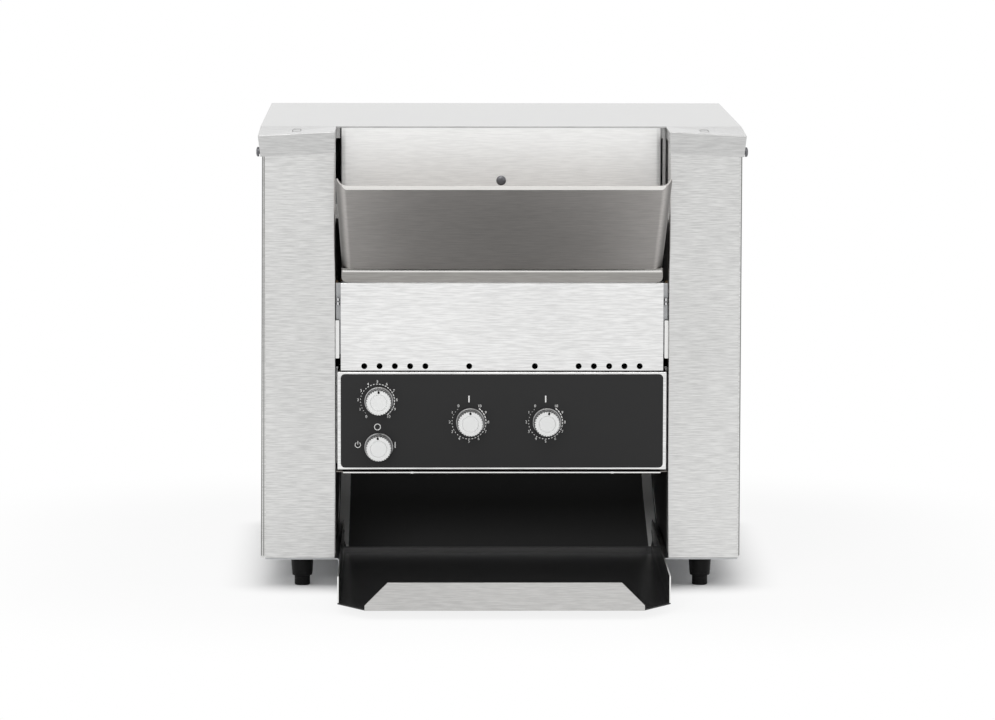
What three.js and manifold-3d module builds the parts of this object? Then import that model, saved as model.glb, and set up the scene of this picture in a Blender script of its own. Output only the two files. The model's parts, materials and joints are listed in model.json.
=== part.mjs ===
// Countertop conveyor toaster in folded stainless sheet. Millimetres, +Z up, the front faces -Y.
// Built with the pillar fronts near y = 0 and the counter at z = 0, then centred on its footprint.
import * as THREE from 'three';
import { mergeVertices } from 'three/addons/utils/BufferGeometryUtils.js';
import Module from 'manifold-3d';

const wasm = await Module();
wasm.setup();

// Sheet, fits and cutters
const sheet = 1.2;
const gap = 0.3;
const runClear = 0.4;
const overrun = 4;
const weldReach = 1e-4;

// Facets
const roundSides = 16;
const knobSides = 32;
const tubeSides = 8;
const pinSides = 6;
const bendSteps = 4;
const hairpinSteps = 12;
const beltBendSteps = 8;

// Outer casing
const bodyWidth = 462;
const standHeight = 30.4;
const edgeStrip = 2.7;
const panelHem = 8;
const leftPanelLean = 2.5;
const pillarWidth = 70.2;
const pillarReturn = 24;

// Lid
const lidSpace = 62.5;
const lidOverhang = 4;
const lidDepth = 440;
const lipHeight = 20.5;
const lipLean = 2.4;
const lidDroop = 4;
const notchDepth = 76;
const notchFlange = 11.5;

// Base pans and tray ledges
const panDrop = 1;
const panFlange = 16;
const panFrontInset = 6;
const ledgeTop = 8.2;
const ledgeWidth = 9;
const ledgeGap = 1.8;

// Upper front panel
const upperPanelSideGap = 4.3;
const mouthHeight = 53.4;
const upperPanelBend = 5;
const upperPanelReturn = 26;

// Loading ramp
const rampHeadSideGap = 1.8;
const rampFootSideGap = 5.8;
const rampReach = 100;
const rampRise = 88.5;
const rampFootRise = 11.9;
const rampBendRadius = 10;
const cheekEar = 8;
const cheekRun = 44;
const cheekHeight = 36;
const rampHem = 4;
const rampCorner = 5;

// Lower front panel
const lowerPanelSideGap = 5.1;
const lowerPanelHeight = 85.2;
const lowerPanelFront = 0.6;
const ventRadius = 2.9;
const ventRise = 4.3;
const ventPitch = 14.75;
const ventEdge = 22.7;
const ventSingle = 31.7;
const ventGroupCount = 5;

// Control bezel and overlay
const bezelSideGap = 1.8;
const bezelHeight = 95.4;
const dischargeHeight = 86.4;
const bezelDepth = 45;
const bezelSideRim = 3.2;
const bezelEdgeRim = 2.2;
const bezelGap = 1.2;
const overlayThick = 0.5;
const overlayCorner = 4;
const shaftHole = 5;

// Knobs and the controls behind them
const knobSkirt = 13.85;
const knobSkirtHeight = 3;
const knobShoulder = 12.5;
const knobShoulderHeight = 6;
const knobCrest = 12.1;
const knobValley = 11.6;
const knobHeight = 17;
const knobFlutes = 30;
const knobRing = 7.85;
const knobDish = 0.5;
const pointerWidth = 2;
const pointerLength = 3;
const pointerDepth = 1.2;
const stemRadius = 3;
const stemLength = 14;
const dialInset = 40;
const speedDialDrop = 28.2;
const powerDialDrop = 73;
const heatDialDrop = 48.8;
const topHeatColumn = 30.6;
const bottomHeatColumn = 43.5;
const heatPointerTurn = 9.5;
const controlDepth = 26;
const speedControlRadius = 12;
const powerSwitchSize = 30;
const heatControlSize = 40;

// Lower deck
const deckDrop = 2.2;
const deckFrontInset = 1;
const deckRearGap = 20;
const deckCorner = 8;

// Discharge chute and its guides
const chuteRadius = 180;
const chuteRearGap = 9.3;
const chuteRise = 65;
const chuteSlope = 15;
const chuteOverlap = 38.7;
const chuteLift = 3.7;
const chuteSteps = 9;
const guideWidth = 10;
const guideThick = 1;
const guideTip = 50;
const guideTipShare = 0.8;
const guideTop = 150;

// Tray
const traySideGap = 3.8;
const trayLength = 400;
const trayReach = 178.3;
const trayCornerRun = 36;
const trayCornerWidth = 26;
const trayWall = 26.6;
const trayLift = 0.4;
const lipSquare = 5;

// Conveyor
const idlerPlace = 45;
const idlerDrop = 15.6;
const driveDrop = 18;
const dropRun = 78;
const shaftRadius = 6;
const rollerRadius = 14.5;
const rollerWidth = 10;
const rollerInset = 20.8;
const beltWire = 2.4;
const beltRod = 2;
const beltStrip = 6;
const beltRodCount = 38;
const beltPlay = 0.5;
const shaftOverhang = 9;
const bushRadius = 9.5;
const bushFlange = 14;
const bushFlangeThick = 3;
const bushLength = 10;

// Motor, sprockets and chain in the right-hand compartment
const motorAhead = 28;
const motorDrop = 95;
const gearboxSize = 50;
const gearboxWidth = 32;
const motorRadius = 15;
const motorLength = 84;
const outputRadius = 5;
const outputGrip = 12;
const chainInset = 42.5;
const chainPitch = 8;
const chainPlate = 1.2;
const chainPlateHeight = 5;
const chainInnerWidth = 3.2;
const chainPinRadius = 1.2;
const sprocketThick = 2.4;
const shaftTeeth = 18;
const motorTeeth = 12;
const toothHeight = 3;
const hubThick = 8;
const hubRadius = 9;

// Heating elements and reflectors
const elementRadius = 4;
const elementLegShares = [0.177, 0.38, 0.538, 0.741];
const upperElementShift = 31;
const upperElementDrop = 14;
const elementInset = 20.8;
const elementTail = 14;
const reflectorRise = 30;
const reflectorRearGap = 24;
const reflectorSkirt = 26;
const lowerReflectorRise = 15.8;
const lowerReflectorFront = 14;

// Cooling fan
const fanSize = 56;
const fanDepth = 20;
const fanHeight = 110;
const fanBore = 25.5;
const fanHub = 10;
const fanBlades = 7;
const fanTip = 0.8;
const bladeThick = 1.2;
const bladeTwist = 35;
const strutWidth = 3;

// Rear panel
const grilleSlots = 5;
const grilleSlotWidth = 5;
const exhaustSlots = 10;
const exhaustPitch = 22;
const exhaustWidth = 5;
const exhaustHeight = 26;
const exhaustDrop = 94.5;

// Power gland
const glandInset = 35;
const glandHeight = 78;
const glandThread = 10;
const glandNut = 14;
const glandReach = 14;
const glandFlange = 5;
const glandInside = 12;
const glandBore = 5.5;

// Feet
const footInset = 37;
const footFront = 30;
const footRearInset = 40;
const footTopRadius = 11.1;
const footStepRadius = 9.75;
const footStepHeight = 9.6;
const insertRadius = 7.55;
const footStem = 5;
const footCap = 3;
const footEase = 1;

// Screws
const screwHead = 4.7;
const screwHeadHeight = 3;
const screwCrownShare = 0.75;
const screwShank = 2.2;
const screwGrip = 8;
const lidScrewPlace = 10;
const lidScrewDrop = 20.2;
const panelScrewRise = 39.5;

// Places that follow from the sizes above
const halfBody = bodyWidth / 2;
const halfBay = halfBody - pillarWidth;
const halfLid = halfBody + lidOverhang;
const bezelBottom = standHeight + dischargeHeight;
const bezelTop = bezelBottom + bezelHeight;
const lowerPanelBottom = bezelTop + bezelGap;
const lowerPanelTop = lowerPanelBottom + lowerPanelHeight;
const upperPanelBottom = lowerPanelTop + mouthHeight;
const reflectorTop = upperPanelBottom + reflectorRise;
const lidTop = reflectorTop + lidSpace;
const lidUnderside = lidTop - sheet;
const coverFront = sheet + gap;
const coverTop = lidTop - notchFlange - gap;
const sideFront = coverFront + sheet + gap;
const rearPanelBack = lidDepth - sheet - gap;
const rearPanelFront = rearPanelBack - sheet;
const sideRear = rearPanelFront - gap;
const sideTop = lidUnderside - lidDroop - gap;
const wallInner = halfBay + sheet + gap;
const wallOuter = wallInner + sheet;
const fanColumn = wallOuter + gap + fanSize / 2;
const liner = wallInner - gap;
const panTop = standHeight - panDrop;
const panBottom = panTop - sheet;
const panOuter = halfBody - sheet - gap;
const trayHalf = halfBay - traySideGap;
const ledgeOuter = trayHalf + ledgeGap;
const upperPanelFront = notchDepth + sheet;
const reflectorFront = upperPanelFront + upperPanelReturn + sheet + gap;
const deckTop = bezelBottom - deckDrop;
const deckBottom = deckTop - sheet;
const bezelMiddleBottom = bezelBottom + bezelEdgeRim;
const overlayBack = -gap;
const overlayFace = overlayBack - overlayThick;
const knobBase = overlayFace - gap;
const controlFace = sheet + gap;
const bezelHalf = halfBay - bezelSideGap;
const rampLipBottom = lowerPanelTop + 2 * gap;
const rampBendHeight = lowerPanelTop + rampFootRise;
const trayBottom = ledgeTop + trayLift;
const trayRear = trayLength - trayReach;
const chuteRear = rearPanelFront - chuteRearGap;
const chuteFront = trayRear - chuteOverlap;
const chuteFrontHeight = trayBottom + sheet + chuteLift;
const drivePlace = chuteRear - dropRun;
const idlerHeight = lowerPanelTop - idlerDrop;
const driveHeight = idlerHeight - driveDrop;
const chuteTop = driveHeight + chuteRise;
const deckDepth = drivePlace - deckRearGap;
const reflectorRear = chuteRear - reflectorRearGap;
const lowerReflectorHeight = bezelTop + lowerReflectorRise;
const upperElementHeight = reflectorTop - upperElementDrop;
const elementReach = halfBay - elementInset;
const rollerSpread = halfBay - rollerInset;
const motorPlace = drivePlace - motorAhead;
const motorHeight = driveHeight - motorDrop;
const chainPlane = wallOuter + chainInset;
const footColumn = halfBody - footInset;
const footRear = lidDepth - footRearInset;
const glandPlace = halfBody - glandInset;
const beltInner = rollerRadius + beltPlay;
const beltSlope = Math.atan2(driveHeight - idlerHeight, drivePlace - idlerPlace);
const radian = Math.PI / 180;
const shaftEnd = chainPlane + hubThick;
const footBodyTop = panBottom - gap;
const insertTop = footStepHeight - gap;
const stemTop = footBodyTop - footCap - gap;
const rearReach = rearPanelBack + gap + glandFlange + glandReach;
const frontReach = trayReach + gap + sheet;

const steel = { color: 0xc9c8c5, roughness: 0.36, metalness: 1 };
const darkSteel = { color: 0x77746f, roughness: 0.4, metalness: 1 };
const blackCoat = { color: 0x151515, roughness: 0.25, metalness: 0 };
const overlayBlack = { color: 0x2b2b2c, roughness: 0.5, metalness: 0 };
const rubber = { color: 0x121212, roughness: 0.6, metalness: 0 };
const knobGrey = { color: 0xdcdcdc, roughness: 0.4, metalness: 0 };
const zinc = { color: 0xa9acae, roughness: 0.45, metalness: 1 };
const brass = { color: 0xb08a4a, roughness: 0.35, metalness: 1 };
const castGrey = { color: 0x4c5054, roughness: 0.55, metalness: 0.4 };

const toaster = new THREE.Group();

// Turns a closed geometry into a solid, with its shared corners merged and its faces turned outwards
function solid(geometry) {
  const plain = new THREE.BufferGeometry();
  const open = geometry.index ? geometry.toNonIndexed() : geometry;
  plain.setAttribute('position', open.getAttribute('position'));
  const merged = mergeVertices(plain, weldReach);
  const place = merged.getAttribute('position').array;
  const index = Array.from(merged.index.array);
  const corner = (i) => new THREE.Vector3().fromArray(place, index[i] * 3);
  let volume = 0;
  for (let i = 0; i < index.length; i += 3) {
    volume += corner(i).dot(corner(i + 1).cross(corner(i + 2)));
  }
  if (volume < 0) {
    index.reverse();
  }
  return new wasm.Manifold(new wasm.Mesh({
    numProp: 3,
    vertProperties: new Float32Array(place),
    triVerts: new Uint32Array(index),
  }));
}

function join(...solids) {
  return solids.reduce((whole, next) => whole.add(next));
}

function cut(body, ...tools) {
  return tools.reduce((rest, tool) => rest.subtract(tool), body);
}

// Adds a finished solid to the toaster as a named mesh
function piece(name, body, finish) {
  const result = body.getMesh();
  const geometry = new THREE.BufferGeometry();
  const vertices = new Float32Array(result.vertProperties);
  geometry.setAttribute('position', new THREE.BufferAttribute(vertices, result.numProp));
  geometry.setIndex(new THREE.BufferAttribute(new Uint32Array(result.triVerts), 1));
  geometry.computeVertexNormals();
  const mesh = new THREE.Mesh(geometry, new THREE.MeshStandardMaterial(finish));
  mesh.name = name;
  toaster.add(mesh);
  return mesh;
}

function block(x0, x1, y0, y1, z0, z1) {
  const geometry = new THREE.BoxGeometry(x1 - x0, y1 - y0, z1 - z0);
  geometry.translate((x0 + x1) / 2, (y0 + y1) / 2, (z0 + z1) / 2);
  return solid(geometry);
}

function prism(outline, length) {
  const settings = { depth: length, bevelEnabled: false };
  return new THREE.ExtrudeGeometry(new THREE.Shape(outline), settings);
}

// An outline of (x, y) points raised from z0 to z1
function risen(outline, z0, z1) {
  return solid(prism(outline, z1 - z0).translate(0, 0, z0));
}

// An outline of (x, z) points running from y0 to y1
function alongDepth(outline, y0, y1) {
  const geometry = prism(outline, y1 - y0);
  return solid(geometry.rotateX(Math.PI / 2).translate(0, y1, 0));
}

// An outline of (y, z) points running from x0 to x1
function alongWidth(outline, x0, x1) {
  const geometry = prism(outline, x1 - x0);
  const turn = new THREE.Matrix4().makeBasis(
    new THREE.Vector3(0, 1, 0),
    new THREE.Vector3(0, 0, 1),
    new THREE.Vector3(1, 0, 0),
  );
  return solid(geometry.applyMatrix4(turn).translate(x0, 0, 0));
}

function points(...pairs) {
  return pairs.map(([u, v]) => new THREE.Vector2(u, v));
}

function arc(u, v, radius, startDegrees, endDegrees, steps) {
  const list = [];
  for (let i = 0; i <= steps; i += 1) {
    const angle = (startDegrees + (endDegrees - startDegrees) * i / steps) * radian;
    list.push(new THREE.Vector2(u + radius * Math.cos(angle), v + radius * Math.sin(angle)));
  }
  return list;
}

// The closed outline of a folded sheet: a line of points and the same line offset to its left
function fold(line, thickness) {
  const offset = line.map((point, i) => {
    const before = line[Math.max(i - 1, 0)];
    const after = line[Math.min(i + 1, line.length - 1)];
    const into = (i > 0 ? point.clone().sub(before) : after.clone().sub(point)).normalize();
    const out = (i < line.length - 1 ? after.clone().sub(point) : into.clone()).normalize();
    const leftIn = new THREE.Vector2(-into.y, into.x);
    const leftOut = new THREE.Vector2(-out.y, out.x);
    const mitre = leftIn.add(leftOut);
    return point.clone().add(mitre.multiplyScalar(2 * thickness / mitre.lengthSq()));
  });
  return [...line, ...offset.reverse()];
}

function rod(radius, length, sides) {
  return new THREE.CylinderGeometry(radius, radius, length, sides);
}

// Round bars along X, Y and Z, each from one end to the other
function rodX(radius, x0, x1, y, z, sides = roundSides) {
  const bar = rod(radius, x1 - x0, sides).rotateZ(Math.PI / 2);
  return solid(bar.translate((x0 + x1) / 2, y, z));
}

function rodY(radius, y0, y1, x, z, sides = roundSides) {
  return solid(rod(radius, y1 - y0, sides).translate(x, (y0 + y1) / 2, z));
}

function rodZ(radius, z0, z1, x, y, sides = roundSides) {
  const bar = rod(radius, z1 - z0, sides).rotateX(Math.PI / 2);
  return solid(bar.translate(x, y, (z0 + z1) / 2));
}

// A turned piece whose profile of (radius, height) points rises along Z
function turned(profile, sides = roundSides) {
  return solid(new THREE.LatheGeometry(profile, sides).rotateX(Math.PI / 2));
}

// A skin through a row of rings with equal counts of points, closed by flat ends
function loft(rings) {
  const count = rings[0].length;
  const index = [];
  for (let r = 0; r < rings.length - 1; r += 1) {
    for (let i = 0; i < count; i += 1) {
      const a = r * count + i;
      const b = r * count + (i + 1) % count;
      index.push(a, b, a + count, b, b + count, a + count);
    }
  }
  const last = (rings.length - 1) * count;
  for (let i = 1; i < count - 1; i += 1) {
    index.push(0, i + 1, i, last, last + i, last + i + 1);
  }
  const geometry = new THREE.BufferGeometry();
  const places = rings.flat().flatMap((p) => [p.x, p.y, p.z]);
  geometry.setAttribute('position', new THREE.BufferAttribute(new Float32Array(places), 3));
  geometry.setIndex(index);
  return solid(geometry);
}

function mirrored(body) {
  return body.mirror([1, 0, 0]);
}

// Adds a piece on the right and its mirror image on the left
function pair(name, right, finish) {
  piece(`left_${name}`, mirrored(right), finish);
  piece(`right_${name}`, right, finish);
}

// The loop around two round ends of a belt or chain, at one distance from both pitch circles
function loopOutline(start, startRadius, end, endRadius, grow, steps) {
  const run = end.clone().sub(start);
  const heading = run.angle() / radian;
  const spread = Math.acos((startRadius - endRadius) / run.length()) / radian;
  const around = [
    ...arc(start.x, start.y, startRadius + grow, heading + spread, heading + 360 - spread, steps),
    ...arc(end.x, end.y, endRadius + grow, heading - spread, heading + spread, steps),
  ];
  return around;
}

// The room that the pillars' inner returns take from full-width sheets, on the right
function returnRoom() {
  return block(halfBay - gap, liner + overrun, coverFront - overrun,
    coverFront + pillarReturn + gap, 0, lidTop);
}

// Casing

function buildTopCover() {
  const lipBottom = lidTop - lipHeight;
  const rear = block(-halfLid, halfLid, notchDepth, lidDepth, lidUnderside, lidTop);
  const rearLip = block(-halfLid + lipLean, halfLid - lipLean, lidDepth - sheet, lidDepth, lipBottom, lidTop);
  const wing = block(halfBay, halfLid, 0, notchDepth, lidUnderside, lidTop);
  const frontLip = alongDepth(points(
    [halfBay, lipBottom],
    [halfLid - lipLean, lipBottom],
    [halfLid, lidTop],
    [halfBay, lidTop],
  ), 0, sheet);
  const flange = block(halfBay, halfBay + sheet, 0, notchDepth, lidTop - notchFlange, lidTop);
  const lipSection = points(
    [halfLid - sheet, lidTop],
    [halfLid - sheet - lipLean, lipBottom],
    [halfLid - lipLean, lipBottom],
    [halfLid, lidTop],
  );
  const lipFront = alongDepth(lipSection, 0, notchDepth);
  const lipRear = alongDepth(lipSection, notchDepth, lidDepth);
  const droop = (body) => body.warp((p) => {
    const outShare = Math.min(Math.max((p[0] - halfBay) / (halfLid - halfBay), 0), 1);
    const frontShare = Math.min(Math.max((notchDepth - p[1]) / notchDepth, 0), 1);
    p[2] -= lidDroop * outShare * frontShare;
  });
  const front = join(...[wing, frontLip, flange, lipFront].map(droop));
  const side = join(front, lipRear);
  const screwHole = rodX(screwShank + runClear, halfBody - overrun, halfLid + overrun, lidScrewPlace,
    lidTop - lidScrewDrop);
  const whole = cut(join(rear, rearLip, side, mirrored(side)), screwHole, mirrored(screwHole));
  piece('top_cover', whole, steel);
}

function buildSidePanels() {
  const plan = fold(points(
    [halfBody - panelHem, sideFront],
    [halfBody, sideFront],
    [halfBody, sideRear],
    [halfBody - panelHem, sideRear],
  ), sheet);
  const screwHole = rodX(screwShank + runClear, halfBody - overrun, halfBody + overrun, lidScrewPlace,
    lidTop - lidScrewDrop);
  const right = cut(risen(plan, standHeight, sideTop), screwHole);
  piece('right_side_panel', right, steel);
  const left = mirrored(right).warp((p) => {
    p[0] -= leftPanelLean * (sideTop - p[2]) / (sideTop - standHeight);
  });
  piece('left_side_panel', left, steel);
}

function buildFrontCovers() {
  const plan = fold(points(
    [halfBay, coverFront + pillarReturn],
    [halfBay, coverFront],
    [halfBody - edgeStrip, coverFront],
  ).reverse(), -sheet);
  pair('front_cover', risen(plan, standHeight, coverTop), steel);
}

function buildRearPanel() {
  const outer = panOuter;
  const plate = block(-outer, outer, rearPanelFront, rearPanelBack, standHeight, lidUnderside - gap);
  const from = rearPanelFront - overrun;
  const to = rearPanelBack + overrun;
  const cutters = [rodY(glandThread + runClear, from, to, glandPlace, glandHeight)];
  const slotStep = 2 * fanBore / grilleSlots;
  for (let i = 0; i < grilleSlots; i += 1) {
    const reach = (i - (grilleSlots - 1) / 2) * slotStep;
    const half = Math.sqrt(fanBore ** 2 - reach ** 2) - grilleSlotWidth / 2;
    const x = -fanColumn + reach;
    cutters.push(block(x - grilleSlotWidth / 2, x + grilleSlotWidth / 2, from, to,
      fanHeight - half, fanHeight + half));
  }
  const exhaustFoot = lidTop - exhaustDrop;
  for (let i = 0; i < exhaustSlots; i += 1) {
    const x = (i - (exhaustSlots - 1) / 2) * exhaustPitch;
    cutters.push(block(x - exhaustWidth / 2, x + exhaustWidth / 2, from, to,
      exhaustFoot, exhaustFoot + exhaustHeight));
  }
  piece('rear_panel', cut(plate, ...cutters), steel);
}

function buildBasePans() {
  const section = fold(points(
    [panOuter, panTop + panFlange],
    [panOuter, panBottom],
    [ledgeOuter, panBottom],
    [ledgeOuter, ledgeTop - sheet],
    [ledgeOuter - ledgeWidth, ledgeTop - sheet],
  ), -sheet);
  pair('base_pan', alongDepth(section, panFrontInset, sideRear - sheet - gap), zinc);
}

function buildInnerWalls() {
  const bottom = panTop + gap;
  const top = lidUnderside - lidDroop - gap;
  let right = block(wallInner, wallOuter, sideFront + sheet, sideRear - sheet - gap, bottom, top);
  const x0 = wallInner - overrun;
  const x1 = wallOuter + overrun;
  const bush = bushRadius + gap;
  right = cut(right,
    rodX(bush, x0, x1, idlerPlace, idlerHeight),
    rodX(bush, x0, x1, drivePlace, driveHeight));
  const legs = elementLegs().map(([y, z]) => rodX(elementRadius + gap, x0, x1, y, z));
  piece('right_inner_wall', right, zinc);
  piece('left_inner_wall', cut(mirrored(right), ...legs.map(mirrored)), zinc);
}

function buildUpperFrontPanel() {
  const half = halfBay - upperPanelSideGap;
  const back = upperPanelFront + upperPanelReturn;
  const bend = upperPanelBend;
  const right = [
    ...arc(half - bend, upperPanelFront + bend, bend, -90, 0, bendSteps),
    new THREE.Vector2(half, back),
    new THREE.Vector2(liner, back),
  ];
  const left = right.map((p) => new THREE.Vector2(-p.x, p.y)).reverse();
  const plan = fold([...left, ...right], sheet);
  const plate = risen(plan, upperPanelBottom, lidUnderside - gap);
  const hole = rodY(screwShank + runClear, upperPanelFront - overrun, upperPanelFront + overrun, 0,
    upperPanelBottom + panelScrewRise);
  piece('upper_front_panel', cut(plate, hole), steel);
}

function buildLowerFrontPanel() {
  const half = halfBay - lowerPanelSideGap;
  const section = fold(points(
    [lowerReflectorFront + 2 * sheet, lowerPanelTop],
    [lowerPanelFront, lowerPanelTop],
    [lowerPanelFront, lowerPanelBottom],
  ), sheet);
  const spots = [ventSingle];
  for (let i = 0; i < ventGroupCount; i += 1) {
    spots.push(half - ventEdge - i * ventPitch);
  }
  const places = spots.flatMap((x) => [-x, x]);
  const vents = places.map((x) => rodY(ventRadius, lowerPanelFront - overrun,
    lowerPanelFront + overrun, x, lowerPanelBottom + ventRise, tubeSides));
  piece('lower_front_panel', cut(alongWidth(section, -half, half), ...vents), steel);
}

// Controls

function dialPlaces() {
  return {
    speed: [dialInset - bezelHalf, bezelTop - speedDialDrop],
    power: [dialInset - bezelHalf, bezelTop - powerDialDrop],
    top_heat: [-topHeatColumn, bezelTop - heatDialDrop],
    bottom_heat: [bottomHeatColumn, bezelTop - heatDialDrop],
  };
}

function dialHoles(from, to) {
  return Object.values(dialPlaces()).map(([x, z]) => rodY(shaftHole, from, to, x, z));
}

function buildBezel() {
  const half = bezelHalf;
  const shell = block(-half, half, 0, bezelDepth, bezelBottom, bezelTop);
  const hollow = block(-half + sheet, half - sheet, sheet, bezelDepth + overrun,
    bezelBottom + sheet, bezelTop - sheet);
  const ears = block(half - sheet / 2, liner, bezelDepth - sheet, bezelDepth, bezelBottom, bezelTop);
  const pan = join(cut(shell, hollow), ears, mirrored(ears));
  piece('control_bezel', cut(pan, ...dialHoles(-overrun, controlFace)), steel);
}

function buildOverlay() {
  const half = bezelHalf - bezelSideRim;
  const top = bezelTop - bezelEdgeRim;
  const bottom = bezelMiddleBottom;
  const r = overlayCorner;
  const outline = [
    ...arc(half - r, top - r, r, 0, 90, bendSteps),
    ...arc(-half + r, top - r, r, 90, 180, bendSteps),
    ...arc(-half + r, bottom + r, r, 180, 270, bendSteps),
    ...arc(half - r, bottom + r, r, 270, 360, bendSteps),
  ];
  const plate = alongDepth(outline, overlayFace, overlayBack);
  piece('control_overlay', cut(plate, ...dialHoles(overlayFace - overrun, overlayBack + overrun)),
    overlayBlack);
}

// A knob at the origin with its face towards +Z, its pointer towards +Y
function knobBody() {
  const profile = points(
    [0, 0],
    [knobSkirt, 0],
    [knobSkirt, knobSkirtHeight],
    [knobShoulder, knobShoulderHeight],
    [0, knobShoulderHeight],
  );
  const skirt = turned(profile, knobSides);
  const outline = [];
  for (let i = 0; i < knobFlutes * 2; i += 1) {
    const angle = Math.PI * i / knobFlutes;
    const radius = i % 2 ? knobValley : knobCrest;
    outline.push(new THREE.Vector2(radius * Math.cos(angle), radius * Math.sin(angle)));
  }
  const grip = risen(outline, knobSkirtHeight, knobHeight);
  const dish = rodZ(knobRing, knobHeight - knobDish, knobHeight + overrun, 0, 0);
  const pointer = block(-pointerWidth / 2, pointerWidth / 2, knobValley - pointerLength,
    knobCrest + overrun, knobHeight - pointerDepth, knobHeight + overrun);
  const stem = rodZ(stemRadius, -stemLength, knobSkirtHeight, 0, 0, tubeSides);
  return join(cut(join(skirt, grip), dish, pointer), stem);
}

function buildKnobs() {
  const turns = { speed: 0, power: 0, top_heat: 0, bottom_heat: heatPointerTurn };
  for (const [name, [x, z]] of Object.entries(dialPlaces())) {
    const knob = knobBody().rotate([0, 0, -turns[name]]).rotate([90, 0, 0]);
    piece(`${name}_knob`, knob.translate([x, knobBase, z]), knobGrey);
  }
}

function buildControls() {
  const places = dialPlaces();
  const boreDepth = controlFace + stemLength;
  const drilled = (body, [x, z]) => cut(body,
    rodY(stemRadius + runClear, controlFace - overrun, boreDepth, x, z, tubeSides));
  const boxed = (size, [x, z]) => block(x - size / 2, x + size / 2, controlFace,
    controlFace + controlDepth, z - size / 2, z + size / 2);
  const [sx, sz] = places.speed;
  const pot = rodY(speedControlRadius, controlFace, controlFace + controlDepth, sx, sz);
  piece('speed_control', drilled(pot, places.speed), zinc);
  piece('power_switch', drilled(boxed(powerSwitchSize, places.power), places.power), rubber);
  piece('top_heat_control', drilled(boxed(heatControlSize, places.top_heat), places.top_heat), rubber);
  const bottom = boxed(heatControlSize, places.bottom_heat);
  piece('bottom_heat_control', drilled(bottom, places.bottom_heat), rubber);
}

// Ramp, deck, chute and tray

function buildRamp() {
  const half = halfBay - rampHeadSideGap;
  const halfFoot = halfBay - rampFootSideGap;
  const foot = new THREE.Vector2(0, rampBendHeight);
  const head = new THREE.Vector2(-rampReach, rampBendHeight + rampRise);
  const slope = head.clone().sub(foot);
  const length = slope.length();
  const up = slope.normalize();
  const wall = cheekHeight + cheekRun;
  // The section across the slope: u is the width, v rises square to the floor
  const right = [
    ...arc(half - rampBendRadius, rampBendRadius, rampBendRadius, -90, 0, bendSteps),
    new THREE.Vector2(half, wall),
  ];
  const left = right.map((p) => new THREE.Vector2(-p.x, p.y)).reverse();
  const section = fold([...left, ...right], sheet);
  const straight = prism(section, length + wall + overrun).translate(0, 0, -wall);
  const channel = solid(straight).warp((p) => {
    const [u, v, w] = p;
    const share = Math.min(Math.max(w / length, 0), 1);
    p[0] = u * (halfFoot + (half - halfFoot) * share) / half;
    p[1] = foot.x + up.x * w + up.y * v;
    p[2] = foot.y + up.y * w - up.x * v;
  });
  const reach = half + overrun;
  // What stays lies under a line from the ear at the top to the inner end of the cheek
  const keep = alongWidth(points(
    [head.x, head.y - rampHem],
    [head.x, head.y + cheekEar],
    [foot.x + cheekRun, foot.y + cheekHeight],
    [foot.x + cheekRun, foot.y],
    [foot.x + sheet, foot.y],
    [foot.x, foot.y - rampHem],
  ), -reach, reach);
  const innerHalf = halfFoot - sheet;
  const mouth = block(-innerHalf, innerHalf, foot.x + sheet, foot.x + cheekRun + overrun,
    foot.y - wall, foot.y + wall);
  const lip = alongDepth(points(
    [-halfFoot + rampCorner, rampLipBottom],
    [halfFoot - rampCorner, rampLipBottom],
    [halfFoot, rampLipBottom + rampCorner],
    [halfFoot, foot.y + sheet],
    [-halfFoot, foot.y + sheet],
    [-halfFoot, rampLipBottom + rampCorner],
  ), foot.x, foot.x + sheet);
  const hemHalf = half - sheet;
  const hem = alongDepth(points(
    [-hemHalf + rampHem, head.y + sheet - rampHem],
    [hemHalf - rampHem, head.y + sheet - rampHem],
    [hemHalf, head.y + sheet],
    [-hemHalf, head.y + sheet],
  ), head.x - sheet, head.x + sheet / 2);
  const trough = cut(channel.intersect(keep), mouth);
  piece('loading_ramp', join(trough, lip, hem), steel);
}

function buildDeck() {
  const rearRise = lowerReflectorHeight - gap;
  const section = fold(points(
    [deckFrontInset, deckBottom],
    [deckDepth, deckBottom],
    [deckDepth, rearRise],
  ), sheet);
  const corner = block(liner - deckCorner, liner + overrun, deckFrontInset - overrun,
    deckFrontInset + deckCorner, deckBottom - overrun, deckTop + overrun);
  const sides = [corner, returnRoom()].flatMap((tool) => [tool, mirrored(tool)]);
  piece('lower_deck', cut(alongWidth(section, -liner, liner), ...sides), darkSteel);
}

// The chute's upper surface in (y, z): down the back, round the curve and out along the slope
function chuteLine() {
  const turn = 90 - chuteSlope;
  const straightRun = chuteRear - chuteRadius * (1 - Math.cos(turn * radian)) - chuteFront;
  const bendEndHeight = chuteFrontHeight + straightRun * Math.tan(chuteSlope * radian);
  const centreHeight = bendEndHeight + chuteRadius * Math.sin(turn * radian);
  const centre = new THREE.Vector2(chuteRear - chuteRadius, centreHeight);
  return [
    new THREE.Vector2(chuteRear, chuteTop),
    ...arc(centre.x, centre.y, chuteRadius, 0, -turn, chuteSteps),
    new THREE.Vector2(chuteFront, chuteFrontHeight),
  ];
}

// The room on the right that the tray's wall and the base pan's ledge take from the chute
function trayRoom() {
  const out = liner + overrun;
  const front = chuteFront - overrun;
  const inTray = block(trayHalf - sheet - gap, out, front, trayRear + gap, 0, trayBottom + trayWall + gap);
  const inPan = block(ledgeOuter - sheet - gap, out, front, chuteRear, 0, panTop + gap);
  return join(inTray, inPan);
}

function buildChute() {
  const plate = alongWidth(fold(chuteLine(), sheet), -liner, liner);
  piece('discharge_chute', cut(plate, trayRoom(), mirrored(trayRoom())), blackCoat);
}

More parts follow.
